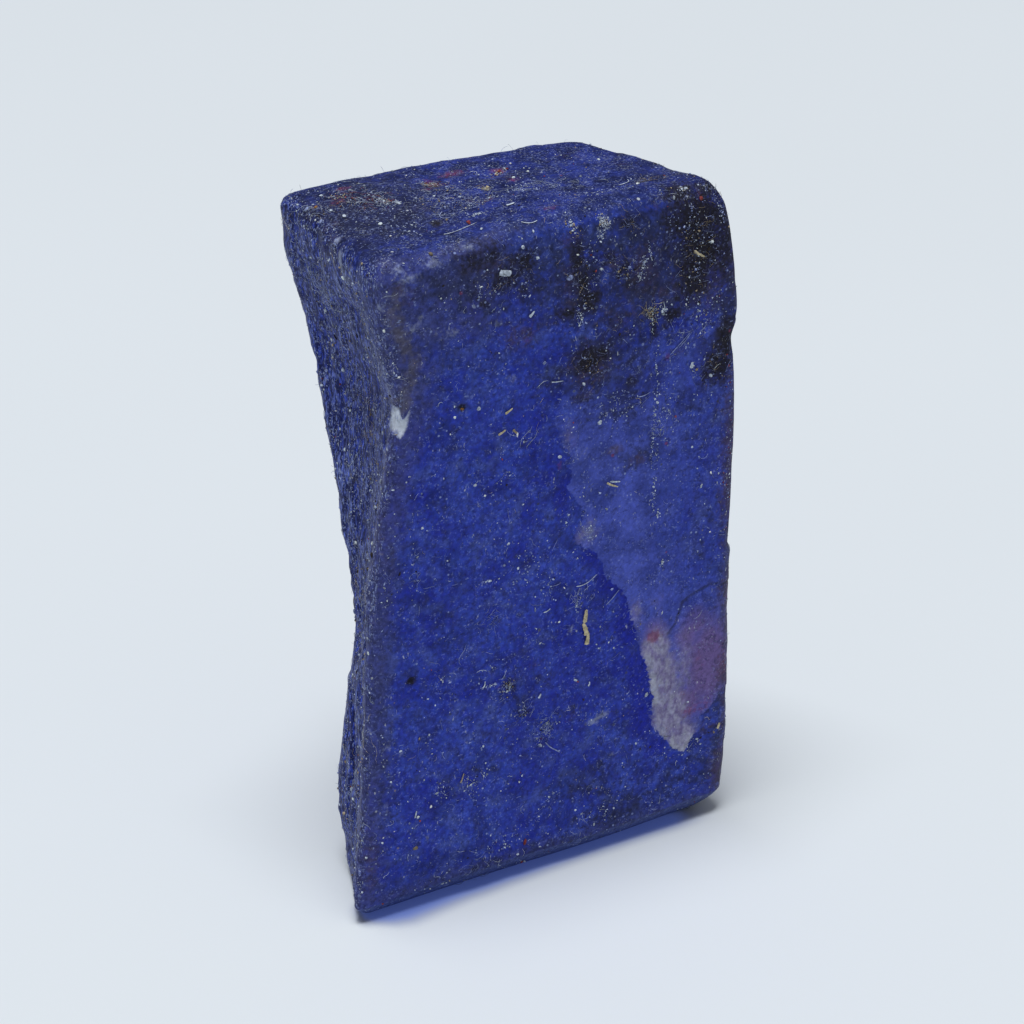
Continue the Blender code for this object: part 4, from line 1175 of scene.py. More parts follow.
class StoneSettings(bpy.types.PropertyGroup):
    """Relief and colours of the stone."""

    peel: height_property("Peel", "Height of the peel on all faces", 0.026 * MM)
    streak: height_property("Striations", "Height of the upright striations", 0.15 * MM)
    stroke: height_property("Strokes", "Height of the wavy strokes on top", 0.05 * MM)
    overlay: height_property("Pale skin", "Thickness of the pale skin", 0.08 * MM)
    clear: swatch("Clear blue", "Deepest, clearest blue", (0.003, 0.01, 0.31))
    # The stone's blue, lightened as painted light for light that passes through the foot.
    foot: swatch("Foot", "Blue of the undercut foot", (0.055, 0.076, 0.22))
    # Painted glow: emitted blue that stands in for light passing through the stone.
    shine: swatch("Glow", "Blue light let out under the lip", (0.008, 0.017, 0.135))
    deep: swatch("Deep blue", "Deep blue of the body", (0.007, 0.021, 0.33))
    violet: swatch("Violet", "Violet tinge in the blue", (0.018, 0.02, 0.33))
    dull: swatch("Dull", "Dull grey parts of the blue", (0.024, 0.03, 0.14))
    slate: swatch("Slate blue", "Softer blue of the body", (0.044, 0.088, 0.5))
    cloud: swatch("Cloud", "Hazy, paler blue of the body", (0.062, 0.095, 0.37))
    haze: swatch("Haze", "Worn, dusty blue", (0.034, 0.056, 0.23))
    wall: swatch("Wall blue", "Blue of the worked side walls", (0.04, 0.082, 0.58))
    ridge: swatch("Ridge", "Worn tops of the striations", (0.25, 0.32, 0.66))
    band: swatch("Edge band", "Greyer blue beside the edges", (0.06, 0.065, 0.195))
    trough: swatch("Trough", "Dark hollows of the walls", (0.003, 0.008, 0.095))
    worn: swatch("Worn crest", "Pale grey of worn crests", (0.3, 0.34, 0.48))
    # The top's colours are darker than the front's, partly painted shade against the light on
    # top.
    top_dark: swatch("Top, dark", "Dark parts of the top", (0.004, 0.009, 0.075))
    top_blue: swatch("Top, blue", "Blue of the top", (0.016, 0.03, 0.22))
    top_light: swatch("Top, light", "Light strokes on top", (0.064, 0.094, 0.32))
    brown: swatch("Brown", "Purplish brown patches", (0.06, 0.04, 0.08))
    grime: swatch("Grime", "Dark film in the hollows", (0.014, 0.018, 0.06))
    soot: swatch("Soot", "Thin rim of a stain", (0.019, 0.017, 0.036))
    overlay_dark: swatch("Pale skin, dark", "Thin parts of the pale skin", (0.033, 0.053, 0.3))
    overlay_light: swatch("Pale skin, light", "Thick parts of the pale skin",
                                   (0.07, 0.104, 0.53))
    palest_low: swatch("Palest, low", "Hollows of the palest part", (0.19, 0.155, 0.33))
    palest: swatch("Palest", "Palest, chalky parts", (0.36, 0.36, 0.51))
    mauve: swatch("Mauve", "Mauve parts of the pale skin", (0.16, 0.1, 0.29))
    blush: swatch("Blush", "Reddish spots", (0.22, 0.035, 0.09))
    stain: swatch("Stain", "Dark stains", (0.014, 0.0125, 0.017))
    earth: swatch("Earth", "Brown filling of the groove", (0.105, 0.098, 0.125))
    chip: swatch("Chip", "Bare, chalky chip", (0.66, 0.72, 0.84))
    chalk: swatch("Chalk", "Bare chalky chips and flecks", (0.56, 0.6, 0.66))
    film: swatch("Dust film", "Pale blue dust film", (0.26, 0.33, 0.62))
    sand: swatch("Sand", "Tan specks", (0.3, 0.24, 0.17))


class DustSettings(bpy.types.PropertyGroup):
    """Dust, crumbs, lint and debris that lie on the stone."""

    grain_count: count_property("Grains", "Number of dust grains", 5600)
    crumb_count: count_property("Crumbs", "Number of larger crumbs", 1300)
    fibre_count: count_property("Fibres", "Number of lint fibres", 3000)
    chalk: swatch("Chalk", "Pale dust", (0.7, 0.79, 0.93))
    film: swatch("Film", "Pale blue dust", (0.36, 0.43, 0.74))
    sand: swatch("Sand", "Tan dust", (0.44, 0.36, 0.25))
    straw: swatch("Straw", "Straw and dry fibres", (0.72, 0.63, 0.42))
    earth: swatch("Earth", "Dark brown dust", (0.03, 0.022, 0.02))
    rust: swatch("Rust", "Reddish dust", (0.32, 0.07, 0.07))
    amber: swatch("Amber", "Orange brown bits", (0.34, 0.17, 0.06))
    lint: swatch("Lint", "Bluish lint", (0.16, 0.2, 0.42))


class StageSettings(bpy.types.PropertyGroup):
    """Floor, light and camera."""

    floor_colour: swatch("Floor", "Colour of the floor", (0.785, 0.83, 0.872))
    # Painted shadow: the dark blue of the floor under the front lip, a blue-lit shadow painted
    # in.
    painted_lip_shadow: swatch("Foot tint", "Floor in the light that the stone lets out",
                               (0.15, 0.21, 0.48))
    # Painted glow: blue light that the floor gives out by the front lip.
    painted_floor_glow: swatch("Foot glow", "Blue light that the stone lets out on the floor",
                               (0.026, 0.042, 0.145))
    ambient_colour: swatch("Ambient", "Colour of the even light", (0.87, 0.9, 0.93))
    ambient_strength: bpy.props.FloatProperty(
        name="Ambient strength", description="Strength of the even light",
        default=0.235, min=0.0, soft_max=2.0)
    softbox_power: bpy.props.FloatProperty(
        name="Softbox power", description="Power of the large softbox",
        default=11.8, min=0.0, soft_max=200.0, subtype="POWER", unit="POWER")
    softbox_width: bpy.props.FloatProperty(
        name="Softbox width", description="Side of the square softbox",
        default=0.5, min=0.01, unit="LENGTH", subtype="DISTANCE")
    focal_length: bpy.props.FloatProperty(
        name="Focal length", description="Focal length of the lens",
        default=147.66, min=1.0, subtype="DISTANCE_CAMERA", unit="CAMERA")


# --- Operators ---

class TANZANITE_OT_stone(bpy.types.Operator):
    """Dress the stone: its fine skin, with stains, pale skin and worn edges."""

    bl_idname = "tanzanite.stone"
    bl_label = "Stone"
    bl_options = {"REGISTER", "UNDO"}

    def execute(self, context):
        skin = current_skin()
        rings, stations = skin.places.shape[:2]
        peak = skin.places[-1].mean(axis=0)
        vertices = np.vstack([skin.places.reshape(-1, 3), peak])
        grid = np.arange(rings * stations).reshape(rings, stations)
        beside = np.roll(grid, -1, axis=1)
        quads = np.stack([grid[:-1], beside[:-1], beside[1:], grid[1:]], axis=-1)
        fan = np.stack([grid[-1], beside[-1], np.full(stations, rings * stations)], axis=-1)
        foot = grid[:1, ::-1]
        mesh = new_mesh("worn_tanzanite_stone", vertices,
                        [quads.reshape(-1, 4), fan, foot])
        mesh.set_sharp_from_angle(angle=np.radians(60.0))
        for name, values in skin.fields.items():
            add_field(mesh, name, np.append(values.ravel(), values[-1].mean()))
        piece = new_piece("worn_tanzanite_stone", mesh,
                          stone_material(context.scene.tanzanite_stone))
        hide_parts(STONE_NODE)
        return {"FINISHED"}


def dust_density(skin):
    """Give how thickly dust lies: more on top, on crests, at arrises and by the stains."""
    fields = skin.fields
    patchy = 0.5 + 0.5 * lattice_noise(skin.places, 2.6, 41, size=64)
    knots = 0.5 + 0.5 * lattice_noise(skin.places, 0.8, 42, size=64)
    lift = 0.35 + 0.65 * fields["crest"]
    thick = 0.04 + 0.2 * patchy ** 2 + 12.5 * (patchy * knots) ** 3
    thick = thick + 0.3 * fields["stain"] + 0.3 * fields["arris"]
    thick = thick + 0.35 * fields["top"] + 0.8 * fields["upright"]
    above_foot = ramp(0.15, 0.6, skin.places[..., 2] / MM)
    bare = 1.0 - 0.45 * ramp(0.0, 1.0, fields["pale_skin"])
    return thick * lift * above_foot * bare


def pick_tints(rng, tones, shares, count):
    """Pick each item's tone by share and make it a little lighter or darker."""
    tones = np.array([tuple(tone) for tone in tones])
    chosen = tones[rng.choice(len(tones), size=count, p=shares)]
    return np.clip(chosen * rng.uniform(0.45, 1.4, (count, 1)), 0.0, 0.98)


class TANZANITE_OT_dust(bpy.types.Operator):
    """Scatter dust grains and larger crumbs over the stone."""

    bl_idname = "tanzanite.dust"
    bl_label = "Dust and crumbs"
    bl_options = {"REGISTER", "UNDO"}

    def execute(self, context):
        skin = current_skin()
        dust = context.scene.tanzanite_dust
        material = debris_material("dry_dust", 0.85, 0.1)
        tones = (dust.chalk, dust.film, dust.sand, dust.earth, dust.rust)
        for name, count, seed, middle, spread, rings, sides, shares in (
                ("dust_grains", dust.grain_count, 51, 0.037, 0.42, 1, 4,
                 (0.47, 0.39, 0.03, 0.09, 0.02)),
                ("dust_crumbs", dust.crumb_count, 52, 0.056, 0.42, 3, 6,
                 (0.55, 0.26, 0.04, 0.12, 0.03))):
            rng = np.random.default_rng(seed)
            ring, station = skin.scatter(rng, count, dust_density(skin))
            place, outward = skin.at(ring, station)
            size = np.clip(middle * np.exp(spread * rng.normal(size=count)), 0.014, 0.17)
            radii = size[:, None] * MM * draw_sizes(rng, count, (0.8, 1.7), (0.6, 1.1),
                                                    (0.5, 0.8))
            centres = place + outward * radii[:, 2:] * 0.25
            uneven = rng.uniform(0.72, 1.2, (count, rings * sides + 2))
            vertices, face_sets = lumps(centres, outward, radii,
                                        rng.uniform(0, 2 * np.pi, count), uneven,
                                        rings, sides)
            tints = pick_tints(rng, tones, shares, count)
            new_bits(name, vertices, face_sets, paint(tints, vertices), material, rings > 1)
        return {"FINISHED"}


class TANZANITE_OT_lint(bpy.types.Operator):
    """Lay lint fibres over the stone and stand a few fine hairs on its edges."""

    bl_idname = "tanzanite.lint"
    bl_label = "Lint fibres"
    bl_options = {"REGISTER", "UNDO"}

    points = 6
    sides = 3
    hairs = 130

    def execute(self, context):
        skin = current_skin()
        dust = context.scene.tanzanite_dust
        rng = np.random.default_rng(61)
        count = dust.fibre_count
        ring, station = skin.scatter(rng, count, dust_density(skin))
        length = np.clip(0.48 * np.exp(0.6 * rng.normal(size=count)), 0.15, 2.6)
        paths, outward = surface_paths(
            skin, ring, station, rng.uniform(0, np.pi, count), length,
            rng.normal(0, 1.6, count), rng.normal(0, 0.5, count), self.points)
        radius = rng.uniform(0.006, 0.012, count)[:, None] * MM
        along = np.linspace(0.0, np.pi, self.points)
        arch = rng.uniform(0.0, 1.0, count)[:, None] ** 3 * 0.1 * MM * np.sin(along)
        lift = (0.6 * radius + 0.01 * MM + arch)[..., None]
        vertices, face_sets = spindles(paths + outward * lift, outward, radius, 1.0,
                                       self.sides)
        tints = pick_tints(rng, (dust.lint, dust.film, dust.chalk, dust.straw, dust.earth),
                           (0.48, 0.3, 0.14, 0.04, 0.04), count)
        new_bits("lint_fibres", vertices, face_sets, paint(tints, vertices),
                 debris_material("lint_fibres", 0.7, 0.08))
        self.stand_hairs(skin, dust)
        return {"FINISHED"}

    def stand_hairs(self, skin, dust):
        """Stand hairs up from the arrises: each rises, leans and curls over.

        A hair is place + height(s) normal + sway(s) across it, where the height is a
        sine and the sway grows as the square of the way along.
        """
        rng = np.random.default_rng(62)
        count = self.hairs
        ring, station = skin.scatter(rng, count, skin.fields["arris"] ** 2
                                     * ramp(2.0, 6.0, skin.places[..., 2] / MM))
        root, normal = (values[:, None] for values in skin.at(ring, station))
        sideways = np.cross(normal, rng.normal(size=(count, 1, 3)))
        sideways /= np.linalg.norm(sideways, axis=-1, keepdims=True)
        length = np.clip(0.26 * np.exp(0.45 * rng.normal(size=count)), 0.1, 0.6) * MM
        length = length[:, None, None]
        along = np.linspace(0.0, 1.0, self.points)[:, None]
        curl = rng.uniform(0.5, 2.4, count)[:, None, None]
        paths = root + length * (np.sin(1.6 * along) * 0.7 * normal
                                 + 0.5 * curl * along ** 2 * sideways)
        radius = rng.uniform(0.006, 0.011, count)[:, None] * MM
        vertices, face_sets = spindles(paths, np.broadcast_to(sideways, paths.shape),
                                       radius, 1.0, self.sides)
        tints = pick_tints(rng, (dust.film, dust.chalk, dust.sand), (0.5, 0.3, 0.2), count)
        new_bits("standing_hairs", vertices, face_sets, paint(tints, vertices),
                 debris_material("standing_hairs", 0.7, 0.08))


def on_walls(rows_by_wall):
    """List every row of a table with its wall put first."""
    return [(wall, *row) for wall, rows in rows_by_wall.items() for row in rows]


def columns(rows, *numbers):
    """Give some columns of a table as arrays."""
    return (np.array([row[k] for row in rows]) for k in numbers)


def spots_on(skin, rows):
    """Find the ring and station of each row's place on the skin."""
    return np.array([skin.near(*row[:3]) for row in rows])


def tones_of(dust, names):
    """Look up the tones with these names."""
    return np.array([tuple(getattr(dust, name)) for name in names])


# Caught bits lie at places that Skin.near finds.
# Strips: place, length, width, heading in degrees, bend, tone.
STRIPS = on_walls({
    "front": (
        (14.87, 17.8, 0.95, 0.38, 84, 0.1, "straw"), (14.92, 16.95, 1, 0.4, 106, 0.1, "straw"),
        (15.03, 16.1, 0.9, 0.4, 83, 0.1, "straw"), (16.78, 26.62, 1, 0.16, -30, 0.1, "straw"),
        (16.86, 26.76, 0.8, 0.11, -14, 0.1, "chalk"), (9.4, 33.6, 0.6, 0.2, 25, 0.3, "straw"),
        (8.9, 32.2, 0.55, 0.16, 20, 0.2, "straw"), (9.8, 32, 0.45, 0.18, -50, 0.4, "sand"),
        (22.8, 41, 0.9, 0.2, -38, 0.1, "straw"), (22.4, 33.4, 0.45, 0.28, 70, 0.3, "chalk"),
        (11, 39.6, 0.5, 0.22, 35, 0.2, "chalk"), (12.8, 34.7, 0.85, 0.08, -8, 0.1, "chalk"),
        (9.2, 42.8, 0.85, 0.42, -20, 0.1, "chalk"), (25, 6.7, 0.45, 0.22, 70, 0.1, "straw"),
        (5.9, 8.6, 0.7, 0.14, 70, 0.3, "sand"), (2.6, 7.1, 0.5, 0.12, 80, 0.1, "chalk"),
        (8.9, 15.3, 0.6, 0.08, 55, 0.8, "film"), (7.6, 14.9, 0.5, 0.1, 65, 1.2, "chalk"),
        (12, 19, 0.55, 0.09, 15, 1, "chalk"), (15.2, 12.9, 0.35, 0.14, 70, 1.6, "chalk"),
        (14.1, 13.4, 0.3, 0.14, -35, 0.3, "chalk"), (11.6, 13, 0.35, 0.16, 60, 0.3, "chalk"),
        (20.3, 38, 0.7, 0.07, 90, 0.3, "chalk"), (21.5, 35.2, 1.9, 0.05, 50, 0.1, "film"),
        (21.9, 35.4, 1.3, 0.05, 55, 0.2, "film"), (19, 32.4, 0.9, 0.07, 8, 0.3, "film"),
        (16.8, 18.6, 1.3, 0.06, 40, 0.1, "film"), (14.9, 20.2, 1.7, 0.06, 15, 0.9, "chalk"),
        (12.5, 9, 1.6, 0.07, -45, 0.2, "film")),
    "top": (
        (7.3, 2.2, 2.4, 0.06, 5, 0.8, "chalk"), (7.2, 4.2, 1.6, 0.06, -30, 0.8, "film"),
        (15.1, 5.4, 2.6, 0.05, 10, 1.6, "film"), (11.3, 0.9, 1.1, 0.06, -15, 1.2, "chalk"),
        (19.5, 3, 1, 0.08, -10, 0.8, "chalk"), (11.4, 3.4, 0.6, 0.16, 0, 0.4, "chalk"))})
# Single bits: place, radius, flatness, tone.
BEADS = on_walls({
    "front": (
        (6.2, 34.5, 0.15, 0.4, "amber"), (15.7, 31.3, 0.24, 0.4, "chalk"),
        (12.9, 29.5, 0.22, 0.6, "chalk"), (14.5, 34.2, 0.19, 0.7, "chalk"),
        (11.8, 36.2, 0.16, 0.5, "film"), (17.7, 41.3, 0.15, 0.7, "film"),
        (20.1, 37.6, 0.15, 0.7, "chalk"), (22, 39.6, 0.12, 0.7, "chalk"),
        (10.3, 44.2, 0.17, 0.5, "chalk"), (11.3, 43.3, 0.14, 0.6, "chalk"),
        (13.5, 41.5, 0.24, 0.3, "film"), (20.9, 38, 0.08, 0.7, "chalk"),
        (19.9, 31.5, 0.13, 0.7, "chalk"), (20.1, 30.2, 0.1, 0.7, "chalk"),
        (10.6, 0.75, 0.13, 0.8, "rust"), (10.8, 0.55, 0.14, 0.8, "chalk"),
        (10, 1.6, 0.11, 0.8, "chalk"), (0.1, 1.1, 0.1, 0.7, "rust"),
        (14.3, 13.1, 0.09, 0.7, "rust"), (23, 44.5, 0.2, 0.5, "rust"),
        (6.4, 8, 0.11, 0.7, "chalk"), (0.9, 9.8, 0.13, 0.7, "chalk"),
        (1.7, 11.9, 0.13, 0.7, "chalk"), (0.2, 5.7, 0.12, 0.7, "chalk"),
        (7.5, 10.6, 0.1, 0.7, "chalk"), (-0.8, 4.8, 0.1, 0.7, "chalk"),
        (22.6, 9.3, 0.11, 0.7, "chalk"), (9.3, 24.5, 0.12, 0.7, "chalk")),
    "top": (
        (8.1, 2.6, 0.26, 0.5, "rust"), (9.1, 8.4, 0.18, 0.5, "rust"),
        (13.6, 8.6, 0.2, 0.4, "rust"), (1.4, 9.3, 0.2, 0.4, "amber"),
        (5.8, 7.1, 0.22, 0.5, "chalk"), (9.3, 3.3, 0.17, 0.5, "chalk"),
        (2.3, 7.4, 0.2, 0.5, "chalk"), (8.4, 1.5, 0.18, 0.5, "chalk"),
        (8.7, 3.6, 0.15, 0.5, "film"), (0.9, 9.6, 0.2, 0.5, "film"),
        (1.1, 8.1, 0.2, 0.5, "film"), (4.6, 3.6, 0.11, 0.5, "chalk"),
        (11.6, 6.5, 0.18, 0.5, "straw"), (2.3, 10.4, 0.18, 0.5, "chalk")),
    "left": (
        (8.7, 38.5, 0.18, 0.5, "chalk"), (5.4, 41.6, 0.1, 0.6, "film"),
        (6.4, 42.9, 0.1, 0.6, "chalk"), (4.4, 36.8, 0.12, 0.6, "chalk"))})
# Clusters of small bits: place, reach across, reach up, bits, tones to pick from.
CLUSTERS = on_walls({
    "front": (
        (16, 44.6, 0.3, 0.42, 150, "chalk chalk chalk sand"),
        (15.7, 43.7, 0.24, 0.3, 36, "chalk film"),
        (18.8, 41.2, 0.16, 0.42, 60, "chalk chalk film"),
        (18.5, 40.4, 0.2, 0.3, 30, "chalk film"), (19.1, 42, 0.08, 0.6, 26, "chalk film"),
        (14.2, 38.6, 0.3, 0.4, 50, "chalk chalk film"),
        (13.9, 44.4, 0.3, 0.5, 50, "chalk sand"), (22, 45, 0.26, 0.2, 40, "chalk chalk sand"),
        (24.4, 43.6, 0.22, 1.5, 46, "chalk film"),
        (22.6, 42.6, 1.3, 1.9, 90, "sand film chalk earth"),
        (22.4, 39.6, 1.2, 1.4, 60, "sand film chalk earth"),
        (24.2, 33, 0.8, 1.4, 34, "sand film earth"),
        (17.4, 40.8, 0.8, 0.8, 70, "sand film chalk earth"),
        (14.7, 40.2, 0.6, 1.4, 70, "sand film chalk earth"),
        (15, 35.6, 1.2, 1.2, 40, "sand film earth"),
        (19.4, 37.8, 0.4, 0.3, 50, "straw chalk sand"),
        (19.5, 36.9, 0.07, 0.7, 24, "chalk chalk"), (20.3, 37.8, 0.3, 0.3, 16, "chalk"),
        (19.75, 33.4, 0.07, 1.6, 54, "chalk film"), (19.7, 29.5, 0.08, 2.2, 80, "chalk film"),
        (19.75, 25.5, 0.12, 1.8, 60, "chalk film"), (20.2, 23.6, 0.16, 0.4, 22, "chalk"),
        (20.6, 20, 0.2, 0.26, 16, "chalk"), (20.4, 30.4, 0.9, 3.2, 110, "chalk film film"),
        (17, 32, 1.2, 1.1, 80, "chalk film film"), (15.2, 23.6, 0.35, 0.45, 40, "chalk film"),
        (14.3, 18.9, 0.2, 0.9, 60, "film film chalk"),
        (9.4, 14.2, 0.4, 0.4, 80, "chalk film sand"), (7.9, 14.8, 0.45, 0.1, 30, "chalk film"),
        (10.4, 12, 0.35, 0.4, 36, "sand film earth"), (12.1, 10.4, 0.3, 0.5, 30, "chalk film"),
        (8, 22.2, 0.22, 0.12, 14, "chalk"), (10.6, 22.3, 1.6, 1.2, 70, "chalk film film"),
        (6.6, 7.9, 1.4, 1.3, 50, "chalk film film"),
        (9.2, 3.2, 1.6, 0.8, 50, "chalk film film"),
        (12.4, 5.2, 0.9, 0.9, 30, "chalk film film"),
        (16.6, 3, 1.4, 0.9, 40, "chalk film film"),
        (9.2, 41.6, 1.6, 1.3, 60, "chalk film film"), (24, 37, 1, 1.4, 50, "chalk film film"),
        (25.2, 27, 0.4, 6, 70, "chalk film rust")),
    "left": (
        (3, 40, 1.6, 3.4, 220, "chalk film sand"), (8, 40, 2, 3.4, 260, "chalk film film sand"),
        (5, 31, 3, 5, 300, "chalk film film sand"), (5, 19, 3, 6, 260, "chalk film film sand"),
        (4, 7, 3, 4, 200, "chalk film film sand")),
    "top": (
        (5, 7.9, 1, 0.45, 120, "chalk chalk film"), (5.8, 7.2, 0.22, 0.16, 40, "chalk"),
        (8.9, 8.9, 0.35, 0.5, 60, "chalk straw rust"),
        (11.4, 6.4, 0.4, 0.3, 50, "chalk straw sand"),
        (13.4, 8.4, 0.5, 0.4, 50, "chalk straw rust"),
        (3, 9.4, 1.4, 0.7, 90, "chalk straw rust film"), (9, 3.4, 0.4, 0.2, 50, "chalk film"),
        (8.4, 6, 3.4, 1.6, 220, "chalk film film sand"),
        (4.6, 4.2, 1.6, 0.8, 80, "chalk film film"), (14, 5, 3, 1.6, 120, "chalk film film"),
        (17.6, 2.4, 2, 1, 70, "chalk film film"))})
# Knots of dry fibres: place, reach, fibres in it, tones to pick from.
TANGLES = on_walls({
    "front": (
        (19.4, 37.9, 0.6, 30, "straw straw chalk sand"),
        (18.8, 37.7, 1, 14, "straw sand earth"), (17.8, 44, 0.9, 34, "sand film earth"),
        (15.9, 44.4, 0.5, 20, "chalk film"), (14.4, 41, 1.4, 22, "sand film earth"),
        (15, 35.6, 1.5, 22, "sand film earth"), (22.6, 43, 2, 46, "sand film earth film"),
        (22.6, 40.2, 1.9, 34, "sand film earth film"), (24.3, 33.2, 1.2, 16, "sand film earth"),
        (17.4, 41, 1.2, 26, "sand film earth"), (9.4, 14.2, 0.7, 30, "earth film film"),
        (10.4, 12, 0.8, 18, "earth film film"), (12, 11, 0.9, 34, "film film chalk"),
        (14.6, 19.4, 1, 24, "film film chalk"), (8.2, 19.6, 0.9, 20, "film film"),
        (9.2, 42.6, 1.6, 50, "sand earth film"), (7, 1.4, 1.6, 34, "film earth chalk"),
        (15, 2, 1.6, 34, "film earth chalk"), (21.4, 35.6, 1.2, 20, "film chalk"),
        (20, 30, 1.6, 30, "film film chalk")),
    "top": (
        (20.6, 2.4, 0.9, 34, "sand sand film"), (9, 8.6, 0.8, 50, "straw rust chalk earth"),
        (11.4, 6.4, 0.6, 30, "straw sand chalk"), (4.5, 8.4, 1.8, 110, "chalk sand rust film"),
        (9, 5.6, 2.4, 110, "chalk film film"), (15, 5, 2.5, 80, "film film chalk"),
        (1.4, 9, 0.9, 40, "film sand chalk")),
    "left": (
        (9, 41, 1.8, 90, "chalk film film"), (5, 33, 2.2, 110, "sand film film"),
        (5, 20, 2.2, 80, "chalk sand film"), (4, 8, 2.2, 60, "chalk sand film"))})


class TANZANITE_OT_debris(bpy.types.Operator):
    """Put the single bits in their places: straw, flakes, beads and knots of fibres."""

    bl_idname = "tanzanite.debris"
    bl_label = "Caught debris"
    bl_options = {"REGISTER", "UNDO"}

    def execute(self, context):
        skin = current_skin()
        dust = context.scene.tanzanite_dust
        self.lay_strips(skin, dust)
        self.set_beads(skin, dust)
        self.pile_clusters(skin, dust)
        self.tie_tangles(skin, dust)
        return {"FINISHED"}

    def lay_strips(self, skin, dust):
        """Lay the strips: spindles with a wavering width, flattened on the skin."""
        rng = np.random.default_rng(71)
        points = 15
        spots = spots_on(skin, STRIPS)
        length, width, heading, bend = columns(STRIPS, 3, 4, 5, 6)
        count = len(STRIPS)
        paths, outward = surface_paths(skin, spots[:, 0], spots[:, 1], np.radians(heading),
                                       length, bend, rng.uniform(0.02, 0.1, count),
                                       points)
        along = np.linspace(0.0, 1.0, points)
        blunt = np.minimum(1.0, 0.55 + 6.0 * np.minimum(along, 1.0 - along))
        narrowing = 1.0 - rng.uniform(0.1, 0.6, (count, 1)) * along
        radii = (0.5 * width[:, None] * MM * blunt * narrowing
                 * rng.uniform(0.85, 1.1, (count, points)))
        lift = (0.04 + 0.1 * width[:, None]) * MM * np.ones(points)
        vertices, face_sets = spindles(paths + outward * lift[..., None], outward, radii,
                                       0.22, 10)
        colours = paint(tones_of(dust, [strip[7] for strip in STRIPS]), vertices)
        colours = colours * rng.uniform(0.7, 1.1, (len(colours), 1))
        new_bits("caught_straw", vertices, face_sets, colours,
                 debris_material("dry_straw", 0.75, 0.2))

    def set_beads(self, skin, dust):
        """Set the beads: flattened lumps with an uneven surface, half sunk in the skin."""
        rng = np.random.default_rng(72)
        rings, sides = 6, 8
        spots = spots_on(skin, BEADS)
        radius, flat = columns(BEADS, 3, 4)
        centres, outward = skin.at(spots[:, 0], spots[:, 1])
        count = len(BEADS)
        radii = MM * radius[:, None] * np.column_stack([
            draw_sizes(rng, count, (0.7, 1.0), (0.45, 0.75)), 0.8 * flat])
        uneven = rng.uniform(0.6, 1.2, (count, rings * sides + 2))
        vertices, face_sets = lumps(centres + outward * radii[:, 2:] * 0.4, outward, radii,
                                    rng.uniform(0, 2 * np.pi, count), uneven, rings, sides)
        colours = paint(tones_of(dust, [bead[5] for bead in BEADS]), vertices)
        colours = np.clip(colours * rng.uniform(0.75, 1.1, (len(colours), 1)), 0, 1)
        new_bits("caught_beads", vertices, face_sets, colours,
                 debris_material("caught_crumb", 0.7, 0.15))

    def pile_clusters(self, skin, dust):
        """Pile the clusters: small lumps thrown round each place, each on the skin."""
        rng = np.random.default_rng(74)
        rings, sides = 2, 5
        across, up, bits = columns(CLUSTERS, 3, 4, 5)
        owner = np.repeat(np.arange(len(CLUSTERS)), bits)
        count = len(owner)
        spots, across, up = spots_on(skin, CLUSTERS)[owner], across[owner], up[owner]
        beside, above = skin.steps(spots[:, 0], spots[:, 1])
        ring = spots[:, 0] + rng.normal(0, 0.6, count) * up / above
        station = spots[:, 1] + rng.normal(0, 0.6, count) * across / beside
        place, outward = skin.at(ring, station)
        size = np.clip(0.034 * np.exp(0.4 * rng.normal(size=count)), 0.015, 0.09) * MM
        radii = size[:, None] * draw_sizes(rng, count, (0.8, 1.6), (0.6, 1.1), (0.5, 0.9))
        pile = rng.uniform(0.1, 0.9, (count, 1)) * radii[:, 2:]
        centres = place + outward * pile
        uneven = rng.uniform(0.7, 1.2, (count, rings * sides + 2))
        vertices, face_sets = lumps(centres, outward, radii,
                                    rng.uniform(0, 2 * np.pi, count), uneven, rings, sides)
        tones = tones_of(dust, [rng.choice(CLUSTERS[k][6].split()) for k in owner])
        tints = np.clip(tones * rng.uniform(0.6, 1.15, (count, 1)), 0, 1)
        new_bits("caught_clusters", vertices, face_sets, paint(tints, vertices),
                 debris_material("clustered_dust", 0.8, 0.1))

    def tie_tangles(self, skin, dust):
        """Tie the knots: short curled fibres thrown round each place, piled in layers."""
        rng = np.random.default_rng(73)
        points, sides = 8, 3
        reach, fibres = columns(TANGLES, 3, 4)
        owner = np.repeat(np.arange(len(TANGLES)), fibres)
        count = len(owner)
        spots, reach = spots_on(skin, TANGLES)[owner], reach[owner]
        beside, above = skin.steps(spots[:, 0], spots[:, 1])
        ring = spots[:, 0] + rng.normal(0, 0.5, count) * reach / above
        station = spots[:, 1] + rng.normal(0, 0.5, count) * reach / beside
        length = np.minimum(reach, 0.9) * rng.uniform(0.3, 1.0, count)
        paths, outward = surface_paths(skin, ring, station, rng.uniform(0, np.pi, count),
                                       length, rng.normal(0, 1.4, count),
                                       rng.normal(0, 0.4, count), points)
        radius = rng.uniform(0.006, 0.012, count)[:, None] * MM
        along = np.linspace(0.0, np.pi, points)
        arch = rng.uniform(0.0, 0.14, count)[:, None] * MM * np.sin(along)
        lift = (0.7 * radius + 0.01 * MM + arch)[..., None]
        vertices, face_sets = spindles(paths + outward * lift, outward, radius, 1.0, sides)
        tones = tones_of(dust, [rng.choice(TANGLES[k][5].split()) for k in owner])
        tints = tones * rng.uniform(0.5, 1.1, (count, 1))
        new_bits("fibre_tangles", vertices, face_sets, paint(tints, vertices),
                 debris_material("dry_fibre", 0.7, 0.1))


